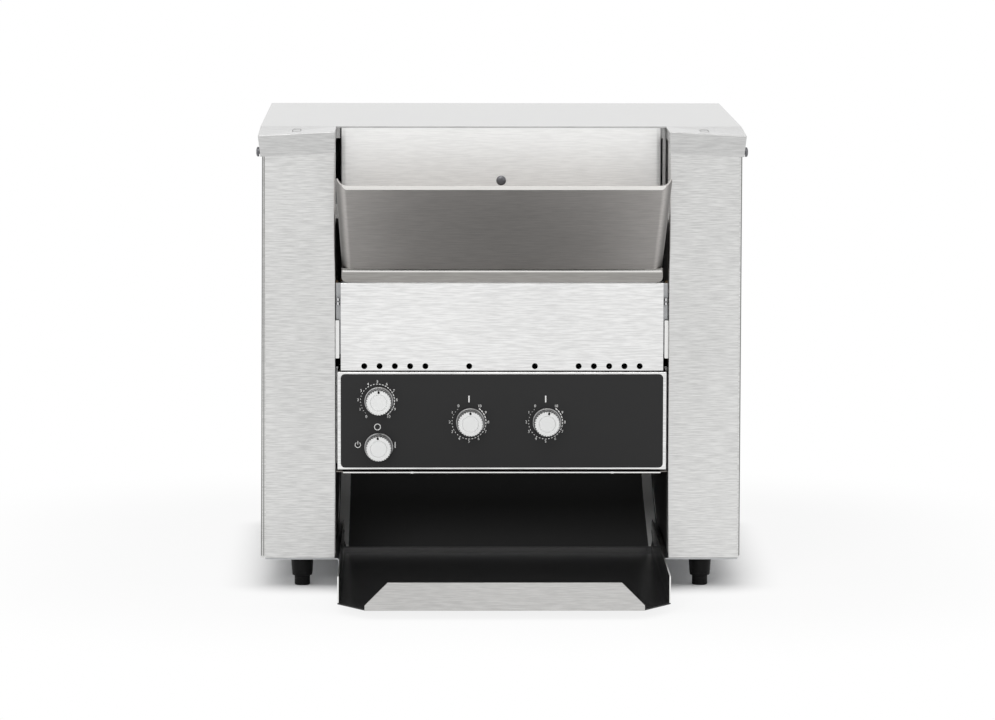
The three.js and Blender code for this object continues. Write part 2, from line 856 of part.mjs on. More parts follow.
function buildGuides() {
  const line = chuteLine();
  const lifted = fold(line, -gap).slice(line.length).reverse();
  const outer = liner - guideThick;
  const strip = alongWidth(fold(lifted, -guideThick), outer - guideWidth, outer);
  const tipPlan = points(
    [outer - guideWidth * guideTipShare, chuteFront - overrun],
    [outer + overrun, chuteFront - overrun],
    [outer + overrun, chuteFront + guideTip],
    [outer, chuteFront + guideTip],
  );
  const taper = risen(tipPlan, 0, guideTop);
  const above = block(0, liner, chuteFront, chuteRear + overrun, guideTop, chuteTop + overrun);
  pair('toast_guide', cut(strip, taper, trayRoom(), above), steel);
}

function trayOutline(inset) {
  const half = trayHalf - inset;
  return points(
    [-half, trayRear],
    [-half, -trayReach + trayCornerRun],
    [-half + trayCornerWidth, -trayReach + inset],
    [half - trayCornerWidth, -trayReach + inset],
    [half, -trayReach + trayCornerRun],
    [half, trayRear],
  );
}

function trayFrontProfile(half, top) {
  const square = trayBottom + lipSquare;
  const cutBack = top - square;
  return points(
    [-half, trayBottom],
    [half, trayBottom],
    [half, square],
    [half - cutBack, top],
    [-half + cutBack, top],
    [-half, square],
  );
}

function buildTray() {
  const floor = risen(trayOutline(0), trayBottom, trayBottom + sheet);
  const top = trayBottom + trayWall;
  const side = block(trayHalf - sheet, trayHalf, -trayReach + trayCornerRun, trayRear, trayBottom, top);
  const frontHalf = trayHalf - trayCornerWidth;
  const front = alongDepth(trayFrontProfile(frontHalf, top), -trayReach, -trayReach + sheet);
  piece('toast_tray', join(floor, side, mirrored(side), front), blackCoat);
  const lip = alongDepth(trayFrontProfile(frontHalf, top), -frontReach, -trayReach - gap);
  piece('tray_lip', lip, steel);
}

// Conveyor

function beltEnds() {
  return [new THREE.Vector2(idlerPlace, idlerHeight), new THREE.Vector2(drivePlace, driveHeight)];
}

function buildBelt() {
  const [front, rear] = beltEnds();
  const inner = loopOutline(front, beltInner, rear, beltInner, 0, beltBendSteps);
  const outer = loopOutline(front, beltInner, rear, beltInner, beltWire, beltBendSteps);
  const places = [-rollerSpread, 0, rollerSpread];
  const strips = places.map((x) => {
    const from = x - beltStrip / 2;
    const to = x + beltStrip / 2;
    return cut(alongWidth(outer, from, to), alongWidth(inner, from - overrun, to + overrun));
  });
  // Rods stand across the strips, an equal step apart along the middle of the wire
  const run = front.distanceTo(rear);
  const middle = beltInner + beltWire / 2;
  const bend = Math.PI * middle;
  const lap = 2 * (run + bend);
  const section = new THREE.BoxGeometry(rollerSpread * 2, beltRod, beltRod);
  const rods = [];
  for (let i = 0; i < beltRodCount; i += 1) {
    const way = lap * (i + 1 / 2) / beltRodCount;
    let along = way;
    let across = middle;
    let turn = 0;
    if (way > run + bend) {
      const back = way - run - bend;
      along = back < run ? run - back : -middle * Math.sin((back - run) / middle);
      across = back < run ? -middle : -middle * Math.cos((back - run) / middle);
      turn = back < run ? 0 : (back - run) / middle;
    } else if (way > run) {
      turn = (way - run) / middle;
      along = run + middle * Math.sin(turn);
      across = middle * Math.cos(turn);
    }
    const bar = section.clone().rotateX(-turn).translate(0, along, across);
    rods.push(solid(bar.rotateX(beltSlope).translate(0, front.x, front.y)));
  }
  piece('conveyor_belt', join(...strips, ...rods), steel);
}

function buildShaft(name, y, z, rightEnd) {
  const bar = rodX(shaftRadius, -(wallOuter + shaftOverhang), rightEnd, y, z);
  const rollers = [-rollerSpread, 0, rollerSpread].map((x) => rodX(rollerRadius,
    x - rollerWidth / 2, x + rollerWidth / 2, y, z, roundSides));
  piece(name, join(bar, ...rollers), zinc);
}

function buildBearing(name, side, y, z) {
  const bore = shaftRadius + runClear;
  const profile = points(
    [bore, 0],
    [bushFlange, 0],
    [bushFlange, bushFlangeThick],
    [bushRadius, bushFlangeThick],
    [bushRadius, bushFlangeThick + bushLength],
    [bore, bushFlangeThick + bushLength],
    [bore, 0],
  );
  const start = wallInner - gap - bushFlangeThick;
  const right = turned(profile).rotate([0, 90, 0]).translate([start, y, z]);
  piece(name, side < 0 ? mirrored(right) : right, brass);
}

function buildConveyor() {
  buildBelt();
  buildShaft('drive_shaft', drivePlace, driveHeight, shaftEnd);
  buildShaft('idler_shaft', idlerPlace, idlerHeight, wallOuter + shaftOverhang);
  buildBearing('left_drive_bearing', -1, drivePlace, driveHeight);
  buildBearing('right_drive_bearing', 1, drivePlace, driveHeight);
  buildBearing('left_idler_bearing', -1, idlerPlace, idlerHeight);
  buildBearing('right_idler_bearing', 1, idlerPlace, idlerHeight);
}

// Drive

function pitchRadius(teeth) {
  return chainPitch / (2 * Math.sin(Math.PI / teeth));
}

// A toothed wheel about the X axis, with its hub towards -X
function wheel(teeth, y, z) {
  const pitch = pitchRadius(teeth);
  const tip = pitch + toothHeight / 2;
  const root = pitch - toothHeight / 2;
  const outline = [];
  for (let i = 0; i < teeth * 4; i += 1) {
    const angle = Math.PI / 2 * (i - 1 / 2) / teeth;
    const radius = i % 4 < 2 ? tip : root;
    outline.push(new THREE.Vector2(y + radius * Math.cos(angle), z + radius * Math.sin(angle)));
  }
  const disc = alongWidth(outline, chainPlane - sprocketThick / 2, chainPlane + sprocketThick / 2);
  const hub = rodX(hubRadius, chainPlane - hubThick, chainPlane, y, z);
  return join(disc, hub);
}

function buildDrive() {
  const half = gearboxSize / 2;
  const left = wallOuter + gap;
  const right = left + gearboxWidth;
  const box = block(left, right, motorPlace - half, motorPlace + half, motorHeight - half,
    motorHeight + half);
  const can = rodZ(motorRadius, motorHeight - half - motorLength, motorHeight - half,
    (left + right) / 2, motorPlace);
  const bore = rodX(outputRadius + runClear, right - outputGrip, right + overrun, motorPlace,
    motorHeight);
  piece('drive_motor', cut(join(box, can), bore), castGrey);
  const output = rodX(outputRadius, right - outputGrip + gap, chainPlane + sprocketThick,
    motorPlace, motorHeight);
  piece('motor_sprocket', join(wheel(motorTeeth, motorPlace, motorHeight), output), zinc);
  const bored = cut(wheel(shaftTeeth, drivePlace, driveHeight),
    rodX(shaftRadius + gap, chainPlane - hubThick - overrun, chainPlane + hubThick, drivePlace,
      driveHeight));
  piece('shaft_sprocket', bored, zinc);
  buildChain();
}

function buildChain() {
  const low = new THREE.Vector2(motorPlace, motorHeight);
  const high = new THREE.Vector2(drivePlace, driveHeight);
  const lowRadius = pitchRadius(motorTeeth);
  const highRadius = pitchRadius(shaftTeeth);
  const half = chainPlateHeight / 2;
  const outer = loopOutline(low, lowRadius, high, highRadius, half, tubeSides);
  const inner = loopOutline(low, lowRadius, high, highRadius, -half, tubeSides);
  const inside = chainInnerWidth / 2;
  const plates = [[-inside - chainPlate, -inside], [inside, inside + chainPlate]].map(([a, b]) => cut(
    alongWidth(outer, chainPlane + a, chainPlane + b),
    alongWidth(inner, chainPlane + a - overrun, chainPlane + b + overrun),
  ));
  // Pins join the plates along the two straight runs, clear of the teeth
  const run = high.clone().sub(low);
  const heading = run.angle();
  const spread = Math.acos((lowRadius - highRadius) / run.length());
  const straight = Math.sqrt(run.lengthSq() - (lowRadius - highRadius) ** 2);
  const clear = (radius) => Math.sqrt((radius + toothHeight + chainPinRadius) ** 2 - radius ** 2);
  const free = straight - clear(lowRadius) - clear(highRadius);
  const count = Math.floor(free / chainPitch);
  const pins = [];
  for (const side of [-1, 1]) {
    const out = heading + side * spread;
    const foot = new THREE.Vector2(Math.cos(out), Math.sin(out));
    const from = low.clone().add(foot.clone().multiplyScalar(lowRadius));
    const to = high.clone().add(foot.clone().multiplyScalar(highRadius));
    const step = to.clone().sub(from).normalize();
    for (let i = 0; i <= count; i += 1) {
      const at = from.clone().add(step.clone().multiplyScalar(clear(lowRadius) + i * chainPitch));
      pins.push(rodX(chainPinRadius, chainPlane - inside - chainPlate / 2,
        chainPlane + inside + chainPlate / 2, at.x, at.y, pinSides));
    }
  }
  piece('drive_chain', join(...plates, ...pins), darkSteel);
}

// Heat

// The (y, z) places of every element leg, two to a hairpin: upper front, upper rear, lower front, rear
function elementLegs() {
  const places = elementLegShares.map((share) => idlerPlace + share * (drivePlace - idlerPlace));
  const upper = places.map((y) => [y + upperElementShift, upperElementHeight]);
  const lower = places.map((y) => [y, idlerHeight + (y - idlerPlace) * Math.tan(beltSlope)]);
  return [...upper, ...lower];
}

// A tube that runs in from the left wall, turns back on itself and runs out again
function hairpin(first, second) {
  const [y0, z0] = first;
  const [y1, z1] = second;
  const across = new THREE.Vector3(0, y1 - y0, z1 - z0);
  const radius = across.length() / 2;
  across.normalize();
  const centre = new THREE.Vector3(elementReach - radius, (y0 + y1) / 2, (z0 + z1) / 2);
  const wayIn = new THREE.Vector3(1, 0, 0);
  const upright = new THREE.Vector3().crossVectors(wayIn, across);
  const tail = -(wallOuter + elementTail);
  const ring = (place, heading) => {
    const side = new THREE.Vector3().crossVectors(heading, upright);
    const list = [];
    for (let i = 0; i < tubeSides; i += 1) {
      const angle = 2 * Math.PI * i / tubeSides;
      const lift = upright.clone().multiplyScalar(elementRadius * Math.sin(angle));
      list.push(place.clone().addScaledVector(side, elementRadius * Math.cos(angle)).add(lift));
    }
    return list;
  };
  const rings = [ring(new THREE.Vector3(tail, y0, z0), wayIn)];
  for (let i = 0; i <= hairpinSteps; i += 1) {
    const angle = Math.PI * i / hairpinSteps;
    const place = centre.clone().addScaledVector(wayIn, radius * Math.sin(angle))
      .addScaledVector(across, -radius * Math.cos(angle));
    const heading = wayIn.clone().multiplyScalar(Math.cos(angle)).addScaledVector(across, Math.sin(angle));
    rings.push(ring(place, heading));
  }
  rings.push(ring(new THREE.Vector3(tail, y1, z1), wayIn.clone().negate()));
  return loft(rings);
}

function buildHeat() {
  const legs = elementLegs();
  const names = ['upper_front_element', 'upper_rear_element', 'lower_front_element', 'lower_rear_element'];
  names.forEach((name, i) => piece(name, hairpin(legs[2 * i], legs[2 * i + 1]), darkSteel));
  const upper = fold(points(
    [reflectorFront, reflectorTop - reflectorSkirt],
    [reflectorFront, reflectorTop],
    [reflectorRear, reflectorTop],
    [reflectorRear, reflectorTop - reflectorSkirt],
  ), -sheet);
  piece('upper_reflector', alongWidth(upper, -liner, liner), zinc);
  const lower = fold(points(
    [lowerReflectorFront, lowerPanelTop - sheet - gap],
    [lowerReflectorFront, lowerReflectorHeight],
    [deckDepth + sheet, lowerReflectorHeight],
  ), sheet);
  const room = returnRoom();
  piece('lower_reflector', cut(alongWidth(lower, -liner, liner), room, mirrored(room)), zinc);
}

// Fan and gland

function buildFan() {
  const rear = rearPanelFront - gap;
  const front = rear - fanDepth;
  const half = fanSize / 2;
  const x = -fanColumn;
  const frame = cut(
    block(x - half, x + half, front, rear, fanHeight - half, fanHeight + half),
    rodY(fanBore, front - overrun, rear + overrun, x, fanHeight),
  );
  const strutFrom = rear - strutWidth;
  const hub = rodY(fanHub, strutFrom, rear, x, fanHeight);
  const pin = rodY(stemRadius, front + strutWidth, rear, x, fanHeight, tubeSides);
  const strutHalf = strutWidth / 2;
  const reach = fanBore + gap;
  const flat = block(x - reach, x + reach, strutFrom, rear, fanHeight - strutHalf, fanHeight + strutHalf);
  const upright = block(x - strutHalf, x + strutHalf, strutFrom, rear, fanHeight - reach, fanHeight + reach);
  piece('fan_frame', join(frame, hub, pin, flat, upright), rubber);
  const rotorFrom = front + gap;
  const rotorTo = strutFrom - 2 * gap;
  const depth = rotorTo - rotorFrom;
  const core = cut(rodY(fanHub, rotorFrom, rotorTo, x, fanHeight),
    rodY(stemRadius + gap, rotorFrom + strutWidth - gap, rotorTo + overrun, x, fanHeight, roundSides));
  const bladeReach = fanBore - fanTip;
  const bladeRoot = fanHub / 2;
  const chord = depth * Math.cos(bladeTwist * radian);
  const blades = [];
  for (let i = 0; i < fanBlades; i += 1) {
    const blade = new THREE.BoxGeometry(bladeThick, chord, bladeReach - bladeRoot);
    blade.rotateZ(bladeTwist * radian).translate(0, 0, (bladeReach + bladeRoot) / 2);
    blade.rotateY(2 * Math.PI * i / fanBlades).translate(x, (rotorFrom + rotorTo) / 2, fanHeight);
    blades.push(solid(blade));
  }
  const sweep = rodY(bladeReach, rotorFrom, rotorTo, x, fanHeight);
  const mid = rodY(fanHub - gap, rotorFrom - overrun, rotorTo + overrun, x, fanHeight);
  const trimmed = cut(join(...blades).intersect(sweep), mid);
  piece('fan_rotor', join(core, trimmed), castGrey);
}

function buildGland() {
  const flangeFrom = rearPanelBack + gap;
  const profile = points(
    [glandBore, -glandInside],
    [glandThread, -glandInside],
    [glandThread, gap],
    [glandNut, gap],
    [glandNut, gap + glandFlange],
    [glandThread, gap + glandFlange + glandReach],
    [glandBore, gap + glandFlange + glandReach],
    [glandBore, -glandInside],
  );
  const gland = turned(profile).rotate([-90, 0, 0]);
  piece('power_gland', gland.translate([glandPlace, flangeFrom - gap, glandHeight]), rubber);
}

// Feet and screws

function buildFeet() {
  const bore = footStem + gap;
  const shell = turned(points(
    [0, footBodyTop - footCap],
    [bore, footBodyTop - footCap],
    [bore, footStepHeight],
    [footStepRadius, footStepHeight],
    [footTopRadius, footBodyTop],
    [0, footBodyTop],
  ));
  const insert = turned(points(
    [0, 0],
    [insertRadius - footEase, 0],
    [insertRadius, footEase],
    [insertRadius, insertTop],
    [footStem, insertTop],
    [footStem, stemTop],
    [0, stemTop],
  ));
  for (const [sideName, x] of [['left', -footColumn], ['right', footColumn]]) {
    for (const [endName, y] of [['front', footFront], ['rear', footRear]]) {
      piece(`${endName}_${sideName}_foot`, shell.translate([x, y, 0]), rubber);
      piece(`${endName}_${sideName}_foot_insert`, insert.translate([x, y, 0]), rubber);
    }
  }
}

function buildScrews() {
  // A pan-head screw about +Z, its head above zero
  const screw = turned(points(
    [0, -screwGrip],
    [screwShank, -screwGrip],
    [screwShank, 0],
    [screwHead, 0],
    [screwHead, screwHeadHeight / 2],
    [screwHead * screwCrownShare, screwHeadHeight],
    [0, screwHeadHeight],
  ), tubeSides);
  const droopHere = lidDroop * (notchDepth - lidScrewPlace) / notchDepth;
  const lipAtHead = lidScrewDrop - droopHere - screwHead;
  const seat = halfLid - lipLean * lipAtHead / lipHeight + gap;
  const side = screw.rotate([0, 90, 0]).translate([seat, lidScrewPlace, lidTop - lidScrewDrop]);
  pair('lid_screw', side, zinc);
  const facing = screw.rotate([90, 0, 0]);
  const screwHeight = upperPanelBottom + panelScrewRise;
  piece('upper_panel_screw', facing.translate([0, upperPanelFront - gap, screwHeight]), zinc);
}

buildTopCover();
buildSidePanels();
buildFrontCovers();
buildRearPanel();
buildBasePans();
buildInnerWalls();
buildUpperFrontPanel();
buildLowerFrontPanel();
buildBezel();
buildOverlay();
buildKnobs();
buildControls();
buildRamp();
buildDeck();
buildChute();
buildGuides();
buildTray();
buildConveyor();
buildDrive();
buildHeat();
buildFan();
buildGland();
buildFeet();
buildScrews();

// The footprint's middle comes to the origin
toaster.position.y = (frontReach - rearReach) / 2;

export default toaster;
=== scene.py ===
"""Looks of a countertop conveyor toaster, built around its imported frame.

Metres, +Z up, and the front faces -Y.
"""

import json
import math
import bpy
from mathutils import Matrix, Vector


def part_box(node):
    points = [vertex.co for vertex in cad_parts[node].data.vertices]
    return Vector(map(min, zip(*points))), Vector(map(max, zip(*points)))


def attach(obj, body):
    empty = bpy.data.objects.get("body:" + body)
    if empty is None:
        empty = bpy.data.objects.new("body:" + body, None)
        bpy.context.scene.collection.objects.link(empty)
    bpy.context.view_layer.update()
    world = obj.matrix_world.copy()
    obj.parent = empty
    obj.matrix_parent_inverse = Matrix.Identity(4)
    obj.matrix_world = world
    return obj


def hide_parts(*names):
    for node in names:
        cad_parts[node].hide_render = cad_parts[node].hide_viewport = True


bl_info = {
    "name": "Conveyor toaster looks",
    "version": (1, 0, 0),
    "blender": (4, 5, 0),
    "location": "3D View > Sidebar > Toaster",
    "description": "Finishes and fine pieces of a countertop conveyor toaster",
    "category": "Object",
}

from contextlib import contextmanager
from functools import cache

import bmesh
import bpy
from bpy.props import FloatProperty, FloatVectorProperty, IntProperty, PointerProperty
from mathutils import Matrix, Vector
from mathutils.bvhtree import BVHTree

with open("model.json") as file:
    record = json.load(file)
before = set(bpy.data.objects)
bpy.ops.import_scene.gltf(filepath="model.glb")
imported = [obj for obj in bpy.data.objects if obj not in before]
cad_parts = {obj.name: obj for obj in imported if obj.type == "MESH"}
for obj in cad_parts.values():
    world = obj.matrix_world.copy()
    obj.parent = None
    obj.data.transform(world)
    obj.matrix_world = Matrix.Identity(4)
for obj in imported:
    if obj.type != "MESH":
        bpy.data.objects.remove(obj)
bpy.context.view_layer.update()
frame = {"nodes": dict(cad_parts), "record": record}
NODES = frame["nodes"]

MM = 0.001
SHEET = 1.2 * MM
GAP = 0.3 * MM
EASE = 0.25 * MM
MERGE = 1e-6
FLAT = math.radians(0.4)
SHARP = math.radians(28)
CUT_EDGE = math.radians(50)
STRAIGHT = math.radians(89.5)
SIDES = (("left", -1), ("right", 1))


class Link:
    """An output socket. Python's operators on it add Math nodes to its tree."""

    def __init__(self, tree, socket):
        self.tree = tree
        self.socket = socket

    def other(self, name):
        """Another output of the same node."""
        return Link(self.tree, find_socket(self.socket.node.outputs, name))

    def math(self, operation, *values):
        return self.tree.node("ShaderNodeMath", {"operation": operation}, dict(enumerate(values)))

    def __add__(self, other):
        return self.math("ADD", self, other)

    def __radd__(self, other):
        return self.math("ADD", other, self)

    def __sub__(self, other):
        return self.math("SUBTRACT", self, other)

    def __rsub__(self, other):
        return self.math("SUBTRACT", other, self)

    def __mul__(self, other):
        return self.math("MULTIPLY", self, other)

    def __rmul__(self, other):
        return self.math("MULTIPLY", other, self)

    def __truediv__(self, other):
        return self.math("DIVIDE", self, other)

    def __abs__(self):
        return self.math("ABSOLUTE", self)

    def above(self, level):
        return self.math("GREATER_THAN", self, level)

    def greatest(self, other):
        return self.math("MAXIMUM", self, other)

    def ramp(self, low, high):
        """0 at low, 1 at high, held there outside, and smooth between."""
        settings = {"interpolation_type": "SMOOTHSTEP"}
        values = {"Value": self, "From Min": low, "From Max": high}
        return self.tree.node("ShaderNodeMapRange", settings, values)


def find_socket(sockets, key):
    """A socket by its number, identifier or name."""
    if isinstance(key, int):
        return sockets[key]
    named = [s for s in sockets if s.identifier == key] or [s for s in sockets if s.name == key]
    if not named:
        raise KeyError(f"no socket {key}")
    return named[0]


class Tree:
    """A node tree under construction. Its node method adds any node, set up and wired."""

    def __init__(self, tree):
        self.tree = tree

    def node(self, kind, settings=None, inputs=None, output=0):
        made = self.tree.nodes.new(kind)
        for name, value in (settings or {}).items():
            setattr(made, name, value)
        for key, value in (inputs or {}).items():
            socket = find_socket(made.inputs, key)
            if isinstance(value, Link):
                self.tree.links.new(value.socket, socket)
            else:
                socket.default_value = value
        return Link(self, find_socket(made.outputs, output)) if made.outputs else None


class Finish(Tree):
    """A material under construction, on the piece's own Object coordinates."""

    def __init__(self, name):
        self.material = bpy.data.materials.new(name)
        self.material.use_nodes = True
        super().__init__(self.material.node_tree)
        self.tree.nodes.clear()
        self.point = self.node("ShaderNodeTexCoord", output="Object")

    def vectors(self, operation, *values, output="Vector"):
        """Vector maths on links and plain vectors."""
        settings = {"operation": operation}
        return self.node("ShaderNodeVectorMath", settings, dict(enumerate(values)), output)

    def scaled(self, factors):
        """The piece's coordinates with each axis times its own factor, a vector or a link."""
        return self.vectors("MULTIPLY", self.point, factors)

    def noise(self, vector, scale, detail=2.0, roughness=0.5):
        values = {"Vector": vector, "Scale": scale, "Detail": detail, "Roughness": roughness}
        return self.node("ShaderNodeTexNoise", None, values, "Fac")

    def blend(self, factor, first, second):
        """A colour between two."""
        values = {"Factor_Float": factor, "A_Color": rgba(first), "B_Color": rgba(second)}
        return self.node("ShaderNodeMix", {"data_type": "RGBA"}, values, "Result_Color")

    def bump(self, height, distance, strength=1.0):
        values = {"Height": height, "Distance": distance, "Strength": strength}
        return self.node("ShaderNodeBump", None, values)

    def done(self, **values):
        """Closes the material with a Principled shader that takes these values."""
        inputs = {name.replace("_", " "): value for name, value in values.items()}
        inputs["Base Color"] = rgba(inputs["Base Color"])
        shader = self.node("ShaderNodeBsdfPrincipled", None, inputs)
        self.node("ShaderNodeOutputMaterial", None, {"Surface": shader})
        return self.material


def rgba(colour):
    """A colour with its fourth channel. A link stays as it is."""
    return colour if isinstance(colour, Link) or len(colour) == 4 else (*colour, 1.0)


def shaded(colour, share):
    """A colour made lighter or darker by a share of itself."""
    return tuple(min(channel * (1 + share), 1.0) for channel in colour)


STREAK_LENGTH = 18 * MM
STREAK_WIDTH = 1.1 * MM


def brushed_metal(name, colour, roughness, contrast=0.12, side_shade=0.0):
    """Sheet metal with a fine straight grain: along X, and along Y on faces that look sideways.

    Those faces can carry painted shade, darker by a share of the colour.
    """
    made = Finish(name)
    normal = made.node("ShaderNodeTexCoord", output="Normal")
    aside = abs(made.node("ShaderNodeSeparateXYZ", None, {0: normal}, "X"))
    across = (1 / STREAK_LENGTH, 1 / STREAK_WIDTH, 1 / STREAK_WIDTH)
    lengthways = (1 / STREAK_WIDTH, 1 / STREAK_LENGTH, 1 / STREAK_WIDTH)
    values = {"Factor_Float": aside.above(0.7), "A_Vector": across, "B_Vector": lengthways}
    factors = made.node("ShaderNodeMix", {"data_type": "VECTOR"}, values, "Result_Vector")
    grained = made.scaled(factors)
    grain = made.noise(grained, 1.0, 3.0, 0.6)
    hair = made.noise(grained, 3.5, 2.0, 0.6)
    cloud = made.noise(made.point, 7.0, 2.0)
    tone = grain.ramp(0.3, 0.7) * 0.8 + cloud.ramp(0.3, 0.7) * 0.2
    grain_and_side_shade = made.blend(tone, shaded(colour, -contrast), shaded(colour, contrast))
    # Painted shade: faces that look sideways are blended towards black by the side_shade share.
    if side_shade:
        grain_and_side_shade = made.blend(aside.ramp(0.2, 0.8) * side_shade, grain_and_side_shade, shaded(colour, -1.0))
    return made.done(
        Base_Color=grain_and_side_shade,
        Metallic=1.0,
        Roughness=roughness - 0.05 + grain * 0.06 + cloud * 0.05,
        Normal=made.bump(hair, 0.06 * MM, 0.35),
    )


def gloss_coat(name, colour, roughness, marked=1.0, gloss=0.5):
    """Smooth baked coating with fine dust and faint handling marks."""
    made = Finish(name)
    dust = made.noise(made.point, 900.0, 2.0).ramp(0.62, 0.8)
    marks = made.noise(made.scaled((12.0, 90.0, 90.0)), 1.0, 3.0).ramp(0.5, 0.75) * marked
    orange_peel = made.noise(made.point, 260.0, 1.0)
    return made.done(
        Base_Color=made.blend(dust * 0.5 + marks * 0.3, colour, shaded(colour, 1.6)),
        Roughness=roughness + marks * 0.06 + dust * 0.1,
        Specular_IOR_Level=gloss,
        Normal=made.bump(orange_peel, 0.02 * MM, 0.3),
    )


def moulded(name, colour, roughness, speckle=0.06, texture=0.03 * MM, scale=2200.0, gloss=0.5):
    """Moulded plastic with a fine spark-eroded texture."""
    made = Finish(name)
    spark = made.noise(made.point, scale, 2.0)
    cloud = made.noise(made.point, 40.0, 2.0)
    tone = spark * 0.6 + cloud * 0.4
    return made.done(
        Base_Color=made.blend(tone, shaded(colour, -speckle), shaded(colour, speckle)),
        Roughness=roughness + cloud * 0.08,
        Specular_IOR_Level=gloss,
        Normal=made.bump(spark, texture, 0.5),
    )


def plated_metal(name, colour, roughness, mottle=0.1):
    """Plated or heat-dulled metal with a soft mottle."""
    made = Finish(name)
    mottled = made.noise(made.point, 60.0, 4.0, 0.6)
    fine = made.noise(made.point, 1200.0, 2.0)
    return made.done(
        Base_Color=made.blend(mottled.ramp(0.3, 0.7), shaded(colour, -mottle), shaded(colour, mottle)),
        Metallic=1.0,
        Roughness=roughness + mottled * 0.12,
        Normal=made.bump(fine, 0.02 * MM, 0.4),
    )


FINISHES = {
    "brushed_steel": (brushed_metal, (0.67, 0.67, 0.662), 0.3, 0.17),
    "panel_steel": (brushed_metal, (0.81, 0.81, 0.805), 0.3, 0.15),
    "upper_steel": (brushed_metal, (0.92, 0.92, 0.91), 0.3, 0.07),
    "lid_steel": (brushed_metal, (0.565, 0.565, 0.56), 0.2),
    # Ramp steel: its last value darkens the faces that look sideways, painted shade.
    "ramp_steel": (brushed_metal, (0.6, 0.578, 0.56), 0.5, 0.1, 0.6),
    # Ramp lip: the ramp's steel made darker, painted shade.
    "ramp_lip_steel": (brushed_metal, (0.325, 0.315, 0.3), 0.34),
    # Ramp hem and bend strip: the ramp's steel made lighter, a painted highlight.
    "hem_steel": (brushed_metal, (0.77, 0.76, 0.735), 0.25, 0.04),
    "lip_steel": (brushed_metal, (0.55, 0.545, 0.535), 0.34),
    # Small edges and tabs: steel made lighter where light catches them, a painted highlight.
    "bright_steel": (brushed_metal, (0.84, 0.84, 0.83), 0.25, 0.02),
    # Dark seams and slot outlines: painted shade of gaps and grooves.
    "seam_steel": (plated_metal, (0.25, 0.25, 0.245), 0.4, 0.05),
    # Inner walls: plated steel made dark for the shade deep in the bay, painted shade.
    "wall_steel": (plated_metal, (0.14, 0.14, 0.14), 0.4),
    "plated_steel": (plated_metal, (0.55, 0.56, 0.57), 0.32),
    "dark_steel": (plated_metal, (0.3, 0.28, 0.26), 0.38, 0.2),
    "belt_steel": (plated_metal, (0.42, 0.4, 0.37), 0.35, 0.15),
    "element_steel": (plated_metal, (0.25, 0.22, 0.19), 0.5, 0.25),
    "screw_steel": (plated_metal, (0.62, 0.62, 0.63), 0.2, 0.05),
    "dark_screw": (plated_metal, (0.16, 0.16, 0.17), 0.3, 0.05),
    "grip_metal": (plated_metal, (0.14, 0.14, 0.14), 0.3, 0.05),
    "skirt_metal": (plated_metal, (0.5, 0.5, 0.5), 0.28, 0.05),
    "bronze": (plated_metal, (0.2, 0.14, 0.08), 0.4),
    "black_coat": (gloss_coat, (0.022, 0.022, 0.0225), 0.14),
    "tray_coat": (gloss_coat, (0.024, 0.024, 0.0245), 0.2, 0.3, 0.22),
    # Chute: the black coat made lighter for light that reaches into the bay, painted light.
    "chute_coat": (gloss_coat, (0.082, 0.082, 0.0825), 0.45, 0.0, 0.3),
    "overlay": (moulded, (0.0095, 0.0095, 0.0098), 0.42, 0.08, 0.01 * MM, 1500.0, 0.35),
    # Toast guides: steel strips given a pale non-metal colour for the light they reflect from the front,
    # a painted highlight.
    "guide_steel": (moulded, (0.9, 0.9, 0.89), 0.4, 0.03),
    "print_white": (moulded, (0.72, 0.72, 0.71), 0.5, 0.02, 0.005 * MM),
    "knob_grey": (moulded, (0.715, 0.72, 0.715), 0.38, 0.02),
    "black_plastic": (moulded, (0.004, 0.004, 0.004), 0.5, 0.06, 0.03 * MM, 2200.0, 0.15),
    "cast_grey": (moulded, (0.12, 0.125, 0.13), 0.55, 0.15, 0.08 * MM, 900.0),
}


def shade(name, colour):
    """The colour of a finish, that a user can change."""
    words = name.replace("_", " ")
    return FloatVectorProperty(
        name=words.capitalize(), description=f"Base colour of the finish {words}", default=colour,
        subtype="COLOR", size=3, min=0.0, max=1.0)


class FinishColours(bpy.types.PropertyGroup):
    """Base colour of each finish."""

    __annotations__ = {name: shade(name, values[1]) for name, values in FINISHES.items()}


@cache
def material(name):
    """The finish of that name, made once."""
    maker, _, *values = FINISHES[name]
    return maker(name, tuple(getattr(bpy.context.scene.toaster_colours, name)), *values)


def dress(piece, name):
    """Gives a piece one finish."""
    piece.data.materials.clear()
    piece.data.materials.append(material(name))


def plan_mesh(name, places, faces):
    """A mesh from its corners and faces, with its faces turned outwards."""
    mesh = bpy.data.meshes.new(name)
    mesh.from_pydata([tuple(p) for p in places], [], faces)
    return outward(mesh)


@contextmanager
def opened(mesh):
    """A mesh opened for work, its doubled corners merged, and written back at the end."""
    work = bmesh.new()
    work.from_mesh(mesh)
    bmesh.ops.remove_doubles(work, verts=work.verts, dist=MERGE)
    yield work
    work.to_mesh(mesh)
    work.free()


def outward(mesh):
    """Merges a closed mesh's doubled corners and turns its faces outwards."""
    with opened(mesh) as work:
        bmesh.ops.recalc_face_normals(work, faces=work.faces)
    return mesh


AXES = {
    "X": lambda u, v, w: (w, u, v),
    "Y": lambda u, v, w: (u, w, v),
    "Z": lambda u, v, w: (u, v, w),
}


def quads(rows, count, around=False, closed=False):
    """The faces between rows of corners. They can close each row, and the last row to the first."""
    faces = []
    for r in range(rows if closed else rows - 1):
        for i in range(count if around else count - 1):
            a, b = r * count + i, r * count + (i + 1) % count
            faces.append((a, b, (b + count) % (rows * count), (a + count) % (rows * count)))
    return faces


def rectangle(low, high):
    """The four corners of a rectangle."""
    return [(low[0], low[1]), (high[0], low[1]), (high[0], high[1]), (low[0], high[1])]


